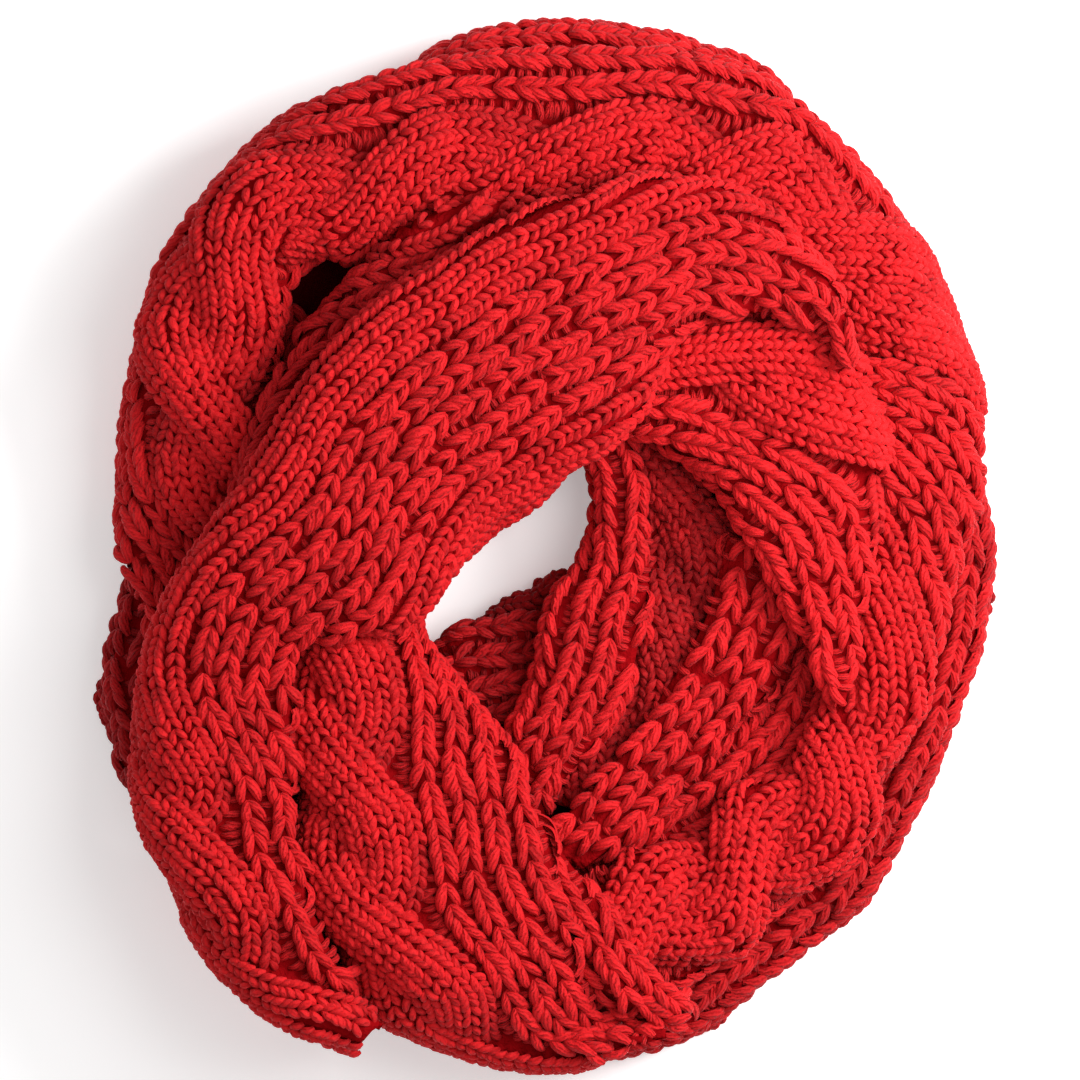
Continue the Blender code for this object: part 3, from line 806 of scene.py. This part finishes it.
def clothMaterial(name, settings):
    material = bpy.data.materials.new(name)
    material.use_nodes = True
    tree = material.node_tree
    shader = tree.nodes["Principled BSDF"]
    for key, value in settings.items():
        shader.inputs[key].default_value = value
    return material, tree, shader


def yarnMaterial(name, ply, plyDepth):
    # Twisted strands along each stitch, mottled and fuzzy, lighter where its tone is higher; the tone
    # holds random variation and painted shade.
    material, tree, shader = clothMaterial(name, {
        "Roughness": yarn["roughness"],
        "Specular IOR Level": yarn["specular"],
        "Sheen Weight": yarn["sheen"],
        "Sheen Roughness": yarn["sheenRoughness"],
        "Sheen Tint": yarn["sheenTint"],
    })
    toneAndShade = node(tree, "ShaderNodeAttribute", attribute_name="toneAndShade").outputs["Fac"]
    place = node(tree, "ShaderNodeTexCoord").outputs["Object"]
    mottle = noise(tree, place, yarn["mottleScale"], 3.0)
    uv = node(tree, "ShaderNodeUVMap", uv_map="yarn").outputs[0]
    split = node(tree, "ShaderNodeSeparateXYZ")
    tree.links.new(uv, split.inputs[0])

    turns = maths(tree, "MULTIPLY", split.outputs[0], ply)
    length = maths(tree, "MULTIPLY", split.outputs[1], yarn["twist"])
    phase = maths(tree, "ADD", turns, length)
    phase = maths(tree, "ADD", phase, noise(tree, place, yarn["unevenScale"]))
    wave = maths(tree, "SINE", maths(tree, "MULTIPLY", phase, 2 * pi))
    strands = maths(tree, "ABSOLUTE", wave)

    finer = node(tree, "ShaderNodeVectorMath", operation="MULTIPLY")
    finer.inputs[1].default_value = yarn["streakScales"]
    tree.links.new(uv, finer.inputs[0])
    streaks = noise(tree, finer.outputs[0], 1.0)
    fibre = maths(tree, "MULTIPLY", streaks, yarn["streaks"] * 2)
    strands = maths(tree, "ADD", strands, fibre)

    share = maths(tree, "MULTIPLY", mottle, yarn["mottle"])
    share = maths(tree, "ADD", share, toneAndShade)
    # Darker in the grooves between the plies, as painted shade, and along the fibre streaks.
    share = maths(tree, "ADD", share, maths(tree, "MULTIPLY", strands, yarn["grooveShadeAndStreaks"]))
    share = maths(tree, "SUBTRACT", share, yarn["toneDrop"])
    share.node.use_clamp = True
    mix = node(tree, "ShaderNodeMix", data_type="RGBA")
    mix.inputs[6].default_value = (*yarn["dim"], 1.0)
    mix.inputs[7].default_value = (*yarn["bright"], 1.0)
    tree.links.new(share, mix.inputs[0])
    tree.links.new(mix.outputs[2], shader.inputs["Base Color"])

    bump = bumpOf(tree, strands, plyDepth)
    fuzz = bumpOf(tree, noise(tree, place, yarn["fuzzScale"]), yarn["fuzzDepth"], bump)
    tree.links.new(fuzz, shader.inputs["Normal"])
    return material


def underMaterial(name, colour):
    # Dull, lumpy cloth, painted dark as painted shade: between the stitches, and on the hidden layers.
    material, tree, shader = clothMaterial(name, {
        "Base Color": (*colour, 1.0),
        "Roughness": 1.0,
        "Specular IOR Level": 0.0,
    })
    place = node(tree, "ShaderNodeTexCoord").outputs["Object"]
    lumps = noise(tree, place, yarn["lumpScale"])
    tree.links.new(bumpOf(tree, lumps, yarn["lumpDepth"]), shader.inputs["Normal"])
    return material


plainYarn = yarnMaterial("plain_yarn", yarn["plainPly"], yarn["plyDepth"] * yarn["plainDepth"])
ribYarn = yarnMaterial("rib_yarn", yarn["ribPly"], yarn["plyDepth"])
shadedUnderCloth = underMaterial("shaded_under_cloth", yarn["under"])
shadedHiddenCloth = underMaterial("shaded_hidden_cloth", yarn["hidden"])


def pieceOf(name, points, faces, material, uv=None, toneAndShade=None):
    # An object of points in millimetres, kept above the surface that it lies on.
    mesh = bpy.data.meshes.new(name)
    places = (points - ringMiddle) * mm
    places[:, 2] = np.maximum(places[:, 2], 0.0)
    sides = faces.shape[1]
    mesh.vertices.add(len(places))
    mesh.vertices.foreach_set("co", places.astype(np.float32).ravel())
    mesh.loops.add(faces.size)
    mesh.loops.foreach_set("vertex_index", faces.astype(np.int32).ravel())
    mesh.polygons.add(len(faces))
    mesh.polygons.foreach_set("loop_start", np.arange(0, faces.size, sides, dtype=np.int32))
    mesh.polygons.foreach_set("loop_total", np.full(len(faces), sides, dtype=np.int32))
    mesh.polygons.foreach_set("use_smooth", np.ones(len(faces), dtype=bool))
    mesh.update(calc_edges=True)
    if uv is not None:
        layer = mesh.uv_layers.new(name="yarn")
        layer.data.foreach_set("uv", uv[faces.ravel()].astype(np.float32).ravel())
        lightness = mesh.attributes.new(name="toneAndShade", type="FLOAT", domain="POINT")
        lightness.data.foreach_set("value", toneAndShade.astype(np.float32))
    mesh.materials.append(material)
    item = bpy.data.objects.new(name, mesh)
    bpy.context.scene.collection.objects.link(item)
    return item


# How far an open tube goes on below its middle, as an angle.
openBelow = 0.62


def openTube(centre, radius, around):
    # A tube along a short curve (x across, y along, z out), open on the side to the cloth.
    centre = np.asarray(centre, float)
    ahead = np.gradient(centre, axis=0)
    ahead /= np.linalg.norm(ahead, axis=1, keepdims=True)
    up = np.array([0.0, 0.0, 1.0]) - ahead * ahead[:, 2:3]
    up /= np.linalg.norm(up, axis=1, keepdims=True)
    side = np.cross(ahead, up)
    angle = np.linspace(-openBelow, pi + openBelow, around + 1)
    cosine, sine = np.cos(angle)[None, :, None], np.sin(angle)[None, :, None]
    rings = radius[:, None, None] * (cosine * side[:, None] + sine * up[:, None])
    rings = centre[:, None] + rings
    length = lengthsAlong(centre)
    uv = np.stack(
        np.broadcast_arrays(angle[None, :] / (2 * pi), length[:, None]), axis=2
    ).reshape(-1, 2)
    faces = []
    for i in range(len(centre) - 1):
        for j in range(around):
            a = i * (around + 1) + j
            faces.append((a, a + 1, a + around + 2, a + around + 1))
    return rings.reshape(-1, 3), np.array(faces), uv


# A leg's form: the stretch of a sine wave that its plump middle follows, the powers that shape
# that and its way aside, and how it rises and swells, as shares of its thickness.
leg = {
    "start": 0.07, "span": 0.88, "plump": 0.7, "aside": 0.9,
    "lowest": -0.75, "rise": 1.55, "thin": 0.42, "swell": 0.58,
}


def legTemplate(size, rings, around):
    # One leg of a stitch: it comes up at the middle, leans out and goes under the next one.
    t = np.linspace(0, 1, rings)
    plump = np.sin(pi * (leg["start"] + leg["span"] * t)) ** leg["plump"]
    aside = np.sin(pi / 2 * t) ** leg["aside"]
    x = size["wide"] * (size["inner"] + (size["outer"] - size["inner"]) * aside)
    y = size["high"] * (size["low"] + size["reach"] * t)
    z = size["thick"] * (leg["lowest"] + leg["rise"] * plump) - size["round"] * x**2
    thick = size["thick"] * (leg["thin"] + leg["swell"] * plump)
    return openTube(np.stack([x, y, z], axis=1), thick, around)


def placed(template, at, side, ahead, out, scale, toneAndShade):
    # Copies of a template at each place, as one run of points, faces, uv and tones.
    points, faces, uv = template
    count = len(at)
    x, y, z = (points[None, :, k : k + 1] for k in range(3))
    moved = x * side[:, None] + y * ahead[:, None] + z * out[:, None]
    moved = at[:, None] + scale[:, None, None] * moved
    numbered = faces[None] + (np.arange(count) * len(points))[:, None, None]
    shift = rng.random((count, 1, 1)) * yarn["uvShift"]
    return (
        moved.reshape(-1, 3),
        numbered.reshape(-1, 4),
        (uv[None] + shift).reshape(-1, 2),
        np.repeat(toneAndShade, len(points)),
    )


def joined(parts):
    # Several runs of points, faces, uv and tones as one.
    points, faces, uv, toneAndShade = [], [], [], []
    total = 0
    for p, f, t, s in parts:
        points.append(p)
        faces.append(f + total)
        uv.append(t)
        toneAndShade.append(s)
        total += len(p)
    return np.concatenate(points), np.concatenate(faces), np.concatenate(uv), np.concatenate(toneAndShade)


def mirror(template):
    # The stitch's other leg.
    points, faces, uv = template
    return points * np.array([-1.0, 1.0, 1.0]), faces[:, ::-1], uv


# Sizes of the stitches, in millimetres; inner, outer, low and reach are shares of wide and high.
# creaseShade and creasePower set the painted shade on plain stitches that lie low in the creases between
# the strands.
plainStitch = {
    "wide": 6.5, "high": 4.3, "thick": 1.75, "wales": 5, "sink": 0.5, "round": 0.05,
    "inner": 0.03, "outer": 0.44, "low": -0.22, "reach": 1.28, "jitter": 0.20,
    "creaseShade": 0.55, "creasePower": 1.5, "steepest": 0.93,
}
ribStitch = {
    "wide": 10.4, "high": 6.6, "thick": 2.2, "sink": 1.1, "round": 0.09,
    "inner": 0.02, "outer": 0.35, "low": -0.28, "reach": 1.52, "jitter": 0.42,
}
purlBump = {
    "wide": 7.5, "high": 4.6, "thick": 1.45, "rise": -0.7, "arch": 0.8, "jitter": 0.45,
    "rest": 0.6, "drop": 1.3, "thinner": 0.35, "besideCable": 6.5, "firstWithin": 4.0,
}

# How unevenly the knitting lies: how far ribs and rows wander, in millimetres and as a share
# of a row, over what length, and how a stitch's jitter is shared out.
uneven = {"rib": 0.8, "ribOver": 90.0, "row": 0.5, "rowOver": 60.0, "waves": (2.0, 4.7)}
jitterShare = {"along": 0.5, "turn": 0.25, "out": 0.7}

# What keeps a stitch, in millimetres: the least distance from the cloth's edge, how far later
# cloth may rise above it, how far it may stand above its own stretch, and how far the cable's
# other strand may stand above it.
keeping = {"plainEdge": 1.5, "edge": 2.0, "cover": 4.0, "own": 3.5, "underStrand": 0.6}
fewestStitches = 4

# How much further apart the rows stand where the knitting is pulled open.
pulled = {"ladder_ribs": 1.28, "left_ruffle": 1.25, "under_fold": 1.2, "crossing": 1.05}


def frameAlong(band, u, across, height, tilt):
    # Places along one wale, and the directions ahead, out and aside there.
    place, out = band.at(u, across)
    beside = band.at(u, across + 1.0)[0] - band.at(u, across - 1.0)[0]
    beside /= np.maximum(np.linalg.norm(beside, axis=1, keepdims=True), 1e-9)
    place = place + out * height[:, None]
    ahead = np.gradient(place, axis=0)
    ahead /= np.maximum(np.linalg.norm(ahead, axis=1, keepdims=True), 1e-9)
    out = out + beside * tilt[:, None]
    out = out - ahead * (out * ahead).sum(axis=1, keepdims=True)
    out /= np.maximum(np.linalg.norm(out, axis=1, keepdims=True), 1e-9)
    return place, ahead, out


def readAlong(at, length, values):
    # A line's places or directions at the distances asked for.
    return np.stack([np.interp(at, length, values[:, k]) for k in range(3)], axis=1)


def wandering(at, length):
    # A slow uneven wave between -1 and 1, new at each call.
    starts = rng.random(2) * 2 * pi
    slow, fast = (np.sin(n * pi * at / length + s) for n, s in zip(uneven["waves"], starts))
    return 0.5 * (slow + fast)


def stitchesOn(band, maps, u, across, height, tilt, shown, step, first, jitter, deep=None):
    # Evenly spaced places on one wale, leaving out what is off the cloth or under other cloth.
    # The last argument says how much darker the yarn is painted at each u, as painted shade in the
    # creases.
    place, ahead, out = frameAlong(band, u, across, height, tilt)
    length = lengthsAlong(place)
    at = np.arange(first, length[-1] - step, step)
    along = rng.normal(0, jitterShare["along"] * jitter, len(at))
    at = at + along + step * uneven["row"] * wandering(at, uneven["rowOver"])
    picked = [readAlong(at, length, values) for values in (place, ahead, out)]
    keep = np.interp(at, length, shown.astype(float)) > 0.5
    x, y, z = picked[0].T
    cover, own = maps
    keep &= readMap(cover, x, y) < z + keeping["cover"]
    keep &= readMap(own, x, y) > z - keeping["own"]
    place, ahead, out = (values[keep] for values in picked)
    deep = np.zeros(len(u)) if deep is None else deep
    deep = np.interp(at, length, deep)[keep]
    side = np.cross(ahead, out)
    turn = rng.normal(0, jitterShare["turn"] * jitter, len(place))[:, None]
    ahead, side = ahead + side * turn, side - ahead * turn
    place = place + side * rng.normal(0, jitter, len(place))[:, None]
    place = place + out * rng.normal(0, jitterShare["out"] * jitter, len(place))[:, None]
    return place, side, ahead, out, deep


def steps(first, last, step):
    # Whole numbers of steps between two places.
    return np.arange(np.ceil(first / step), np.floor(last / step) + 1) * step


def together(gathered):
    # The places gathered from several wales, as one set of arrays.
    none = [np.empty((0, 3))] * 4 + [np.empty(0)]
    return [np.concatenate(part) for part in zip(none, *gathered)]


def laidOut(name):
    # What the wales of a stretch are placed by: the maps, places along it, how far its cables
    # have turned there, and the two ends of the pattern across it.
    band = bands[name]
    maps = (coverOver(name), widened(tops[name], 1))
    u = np.arange(0, band.u[-1] + 0.5, 1.0)
    angle = strandTurn(u, band.crossings)
    return band, maps, u, angle, band.start.min(), (band.start + band.round).max()


def plainPart(name):
    # Plain stitches on both strands of each cable, painted darker low in the creases as painted shade.
    band, maps, u, angle, start, end = laidOut(name)
    half = knit["strandWidth"] / 2
    gathered = []
    for whole in steps(start - knit["cableWidth"], end, knit["repeat"]):
        for way in (1, -1):
            for wale in range(plainStitch["wales"]):
                apart = (wale - (plainStitch["wales"] - 1) / 2) * plainStitch["wide"]
                side = way * knit["strandSwing"] * np.cos(angle) + apart
                across = whole + knit["cableWidth"] / 2 + side
                height, _ = strandTop(side, angle, way, band.hand)
                other, there = strandTop(side, angle, -way, band.hand)
                crossed = there & (other > height + keeping["underStrand"])
                edge = band.fromEdge(u, across)
                fade = np.clip(edge / cloth["edgeFade"], 0, 1)
                # How low the stitch lies in the crease between the strands, for its painted shade.
                low = np.clip(1 - height / knit["strandHeight"], 0, 1)
                height = np.maximum(height, 0) * fade - plainStitch["sink"]
                steep = min(abs(apart / half), plainStitch["steepest"])
                bend = apart / half / np.sqrt(1 - steep**2)
                tilt = np.full(len(u), knit["strandHeight"] / half * bend)
                gathered.append(stitchesOn(
                    band, maps, u, across, height, tilt, ~crossed & (edge > keeping["plainEdge"]),
                    plainStitch["high"], rng.random(), plainStitch["jitter"],
                    plainStitch["creaseShade"] * low ** plainStitch["creasePower"],
                ))
    return together(gathered)


def ribPart(name):
    # The big stitches of the ribs.
    band, maps, u, angle, start, end = laidOut(name)
    gathered = []
    for whole in steps(start - knit["repeat"], end, knit["repeat"]):
        for rib in range(knit["ribs"]):
            place = knit["cableWidth"] + (rib + 0.5) * knit["ribWidth"]
            wander = uneven["rib"] * wandering(u, uneven["ribOver"])
            across = whole + place + swayOf(place, angle) + wander
            edge = band.fromEdge(u, across)
            fade = np.clip(edge / cloth["edgeFade"], 0, 1)
            height = knit["ribHeight"] * fade - ribStitch["sink"]
            gathered.append(stitchesOn(
                band, maps, u, across, height, np.zeros(len(u)), edge > keeping["edge"],
                ribStitch["high"] * pulled.get(name, 1.0), rng.random(), ribStitch["jitter"],
            ))
    return together(gathered)


def purlPart(name):
    # Small loops in the valleys between the ribs and beside the cables.
    band, maps, u, angle, start, end = laidOut(name)
    valleys = [knit["cableWidth"] + rib * knit["ribWidth"] for rib in range(knit["ribs"] + 1)]
    beside = (purlBump["besideCable"], knit["cableWidth"] - purlBump["besideCable"])
    lines = [(place, True) for place in valleys] + [(place, False) for place in beside]
    gathered = []
    for whole in steps(start - knit["repeat"], end, knit["repeat"]):
        for place, leans in lines:
            across = np.full(len(u), whole + place)
            if leans:
                across = across + swayOf(place, angle)
            side = np.mod(across, knit["repeat"]) - knit["cableWidth"] / 2
            bare = np.ones(len(u), dtype=bool)
            for way in (1, -1):
                _, inside = strandTop(side, angle, way, band.hand)
                bare &= ~inside
            edge = band.fromEdge(u, across)
            height = np.full(len(u), purlBump["rise"])
            step = purlBump["high"] * pulled.get(name, 1.0) ** 2
            gathered.append(stitchesOn(
                band, maps, u, across, height, np.zeros(len(u)), bare & (edge > keeping["edge"]),
                step, rng.random() * purlBump["firstWithin"], purlBump["jitter"],
            ))
    return together(gathered)


def loopTemplate(size, rings, around):
    # A purl stitch: a short arch across the valley.
    t = np.linspace(-1, 1, rings)
    x = t * size["wide"] / 2
    y = size["arch"] * (0.5 - t**2)
    z = size["thick"] * (size["rest"] - size["drop"] * t**2)
    thick = size["thick"] * (1 - size["thinner"] * t**2)
    return openTube(np.stack([x, y, z], axis=1), thick, around)


plainLeg = legTemplate(plainStitch, rings=6, around=4)
ribLeg = legTemplate(ribStitch, rings=8, around=6)
purlLoop = loopTemplate(purlBump, rings=7, around=5)

# How much darker the yarn on each stretch is painted, as painted shade where the cloth lies deep or gets
# less light; less than nothing paints it lighter, as painted light.
paintedShade = {
    "recess": 0.56,
    "deep_inner": 0.50,
    "left_ruffle": 0.50,
    "under_fold": 0.42,
    "second_crossing": 0.20,
    "outer_rim": 0.26,
    "lower_ribs": 0.10,
    "inner_ribs": 0.06,
    "inner_right": -0.18,
}

# Lightness of the yarn and size of the stitches, and how much they vary; the purl loops are painted darker
# than the stitches, as painted shade in the valleys between the ribs.
tones = {"stitch": 0.54, "stitchSpread": 0.09, "legSpread": 0.05, "purl": 0.34, "purlSpread": 0.10}
sizeSpread = {"leg": 0.06, "purl": 0.08}


def legsOn(template, places, paintedDarker, size=1.0):
    # Both legs of a stitch at each place, in a random tone less the stretch's painted shade and the
    # painted crease shade.
    at, side, ahead, out, deep = places
    count = len(at)
    toneAndShade = rng.normal(tones["stitch"], tones["stitchSpread"], count) - paintedDarker - deep
    parts = []
    for one in (template, mirror(template)):
        scale = size * (1 + rng.normal(0, sizeSpread["leg"], count))
        own = toneAndShade + rng.normal(0, tones["legSpread"], count)
        parts.append(placed(one, at, side, ahead, out, scale, own))
    return joined(parts)


def loopsOn(places, paintedDarker):
    # A purl loop at each place, in a darker tone as painted shade in the valley, less the stretch's
    # painted shade.
    at, side, ahead, out, _ = places
    toneAndShade = rng.normal(tones["purl"], tones["purlSpread"], len(at)) - paintedDarker
    scale = 1 + rng.normal(0, sizeSpread["purl"], len(at))
    return placed(purlLoop, at, side, ahead, out, scale, toneAndShade)


# The stitches along the folded edges of the hidden layers, in millimetres and as shares; they are painted
# darker, as painted shade deep under the cloth.
edgeStitch = {
    "size": 1.75, "step": 7.4, "paintedDarker": 0.22, "sunk": 0.8, "lookOut": 10.0, "clear": 1.0,
    "stations": 400,
}


def hiddenPart():
    # A row of stitches round each folded edge, where no cloth hangs low outside it.
    row = hiddenRows(edgeStitch["stations"])
    hole, outer, top = row[:, 0:2], row[:, 2:4], row[:, 4]
    overhang = widened(lowest, 1, np.min)
    away = (outer - hole) / np.linalg.norm(outer - hole, axis=1, keepdims=True)
    gathered = []
    for edge, way in ((outer, 1), (hole, -1)):
        for fold in range(core["folds"]):
            h = (fold + 0.5) / core["folds"]
            plan = edge - way * away * (core["lean"] * h**2 - core["foldDepth"])
            place = np.column_stack([plan, h * (top - core["topDrop"])])
            place = np.concatenate([place, place[:1]])
            out = np.column_stack([way * away, np.zeros(len(away))])
            out = np.concatenate([out, out[:1]])
            length = lengthsAlong(place)
            at = np.arange(0, length[-1] - 0.5 * edgeStitch["step"], edgeStitch["step"])
            spot, out = (readAlong(at, length, values) for values in (place, out))
            out /= np.linalg.norm(out, axis=1, keepdims=True)
            ahead = np.roll(spot, -1, axis=0) - np.roll(spot, 1, axis=0)
            ahead -= out * (ahead * out).sum(axis=1, keepdims=True)
            ahead /= np.linalg.norm(ahead, axis=1, keepdims=True)
            x, y, _ = (spot + out * edgeStitch["lookOut"]).T
            shown = readMap(overhang, x, y) > spot[:, 2] + edgeStitch["clear"]
            side = np.cross(ahead, out)
            spot = spot - out * edgeStitch["sunk"]
            gathered.append([v[shown] for v in (spot, side, ahead, out, np.zeros(len(spot)))])
    return together(gathered)


def fastened(pieces, nodeName):
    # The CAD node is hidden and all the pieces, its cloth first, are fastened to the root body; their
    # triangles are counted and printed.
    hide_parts(nodeName)
    total = 0
    for piece in pieces:
        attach(piece, "root")
        made = sum(len(p.vertices) - 2 for p in piece.data.polygons)
        print(piece.name, made, "triangles")
        total += made
    return total


def dressed(name, band):
    # One stretch: its cloth, the plain stitches of its cables and the stitches of its ribs.
    # The cloth under the stitches, painted dark as painted shade in the gaps.
    shell = pieceOf(name + "_cloth", *wallOf(band, **fineWall), shadedUnderCloth)
    pieces = []
    # The stretch's painted shade, or painted light where it is less than nothing.
    paintedDarker = paintedShade.get(name, 0.0)
    plain = plainPart(name)
    if len(plain[0]) > fewestStitches:
        points, faces, uv, toneAndShade = legsOn(plainLeg, plain, paintedDarker)
        pieces.append(pieceOf(name + "_stitches", points, faces, plainYarn, uv, toneAndShade))
    legs, loops = ribPart(name), purlPart(name)
    if len(legs[0]) > fewestStitches:
        purl = loopsOn(loops, paintedDarker)
        points, faces, uv, toneAndShade = joined([legsOn(ribLeg, legs, paintedDarker), purl])
        pieces.append(pieceOf(name + "_ribs", points, faces, ribYarn, uv, toneAndShade))
    total = fastened([shell, *pieces], name)
    return total


def dressedHidden():
    # The hidden layers: their solid, nearly black as painted shade, and the stitches along its folded
    # edges, painted darker as painted shade.
    solid = hiddenSolid(stations=132, foldSteps=6)
    shell = pieceOf("hidden_layers_cloth", *solid, shadedHiddenCloth)
    points, faces, uv, toneAndShade = legsOn(
        plainLeg, hiddenPart(), edgeStitch["paintedDarker"], edgeStitch["size"]
    )
    edges = pieceOf("hidden_layers_stitches", points, faces, ribYarn, uv, toneAndShade)
    return fastened([shell, edges], "hidden_layers")


totalTriangles = sum(dressed(name, band) for name, band in bands.items())
totalTriangles += dressedHidden()
print("all pieces:", totalTriangles, "triangles")

# A pale floor that glows a little, a soft key light from the upper right and weak fill.
# Places and sizes are in metres.
studio = {
    "floorSize": 6.0,
    "floorDrop": 0.0002,
    "floor": 0.97,
    "glow": 0.30,
    "sky": 0.52,
    "white": (1.0, 1.0, 1.0, 1.0),
}
lights = [
    {"name": "key_light", "place": (0.72, 0.27, 0.60), "size": 0.45, "power": 11.0},
    {"name": "light_above", "place": (0.22, 0.02, 0.62), "size": 0.3, "power": 1.5},
]
view = {"place": (-0.0016, 0.0005, 1.645), "lens": 127.0, "sensor": 36.0}


def layFloor():
    bpy.ops.mesh.primitive_plane_add(
        size=studio["floorSize"], location=(0, 0, -studio["floorDrop"])
    )
    floor = bpy.context.object
    floor.name = "floor"
    pale = studio["floor"]
    material, _, _ = clothMaterial("floor_pale", {
        "Base Color": (pale, pale, pale, 1.0),
        "Roughness": 0.9,
        "Emission Color": studio["white"],
        "Emission Strength": studio["glow"],
    })
    floor.data.materials.append(material)


def hangLight(name, place, size, power):
    light = bpy.data.lights.new(name, "AREA")
    light.size = size
    light.energy = power
    item = bpy.data.objects.new(name, light)
    item.location = place
    direction = -item.location.normalized()
    item.rotation_euler = direction.to_track_quat("-Z", "Y").to_euler()
    bpy.context.scene.collection.objects.link(item)


def setSky():
    world = bpy.data.worlds.new("studio_sky")
    world.use_nodes = True
    background = world.node_tree.nodes["Background"]
    background.inputs[0].default_value = studio["white"]
    background.inputs[1].default_value = studio["sky"]
    bpy.context.scene.world = world


def setCamera():
    data = bpy.data.cameras.new("camera")
    data.sensor_width = view["sensor"]
    data.lens = view["lens"]
    camera = bpy.data.objects.new("camera", data)
    camera.location = view["place"]
    bpy.context.scene.collection.objects.link(camera)
    bpy.context.scene.camera = camera


layFloor()
for light in lights:
    hangLight(**light)
setSky()
bpy.context.scene.view_settings.view_transform = "Standard"
setCamera()
print("camera and lights set")
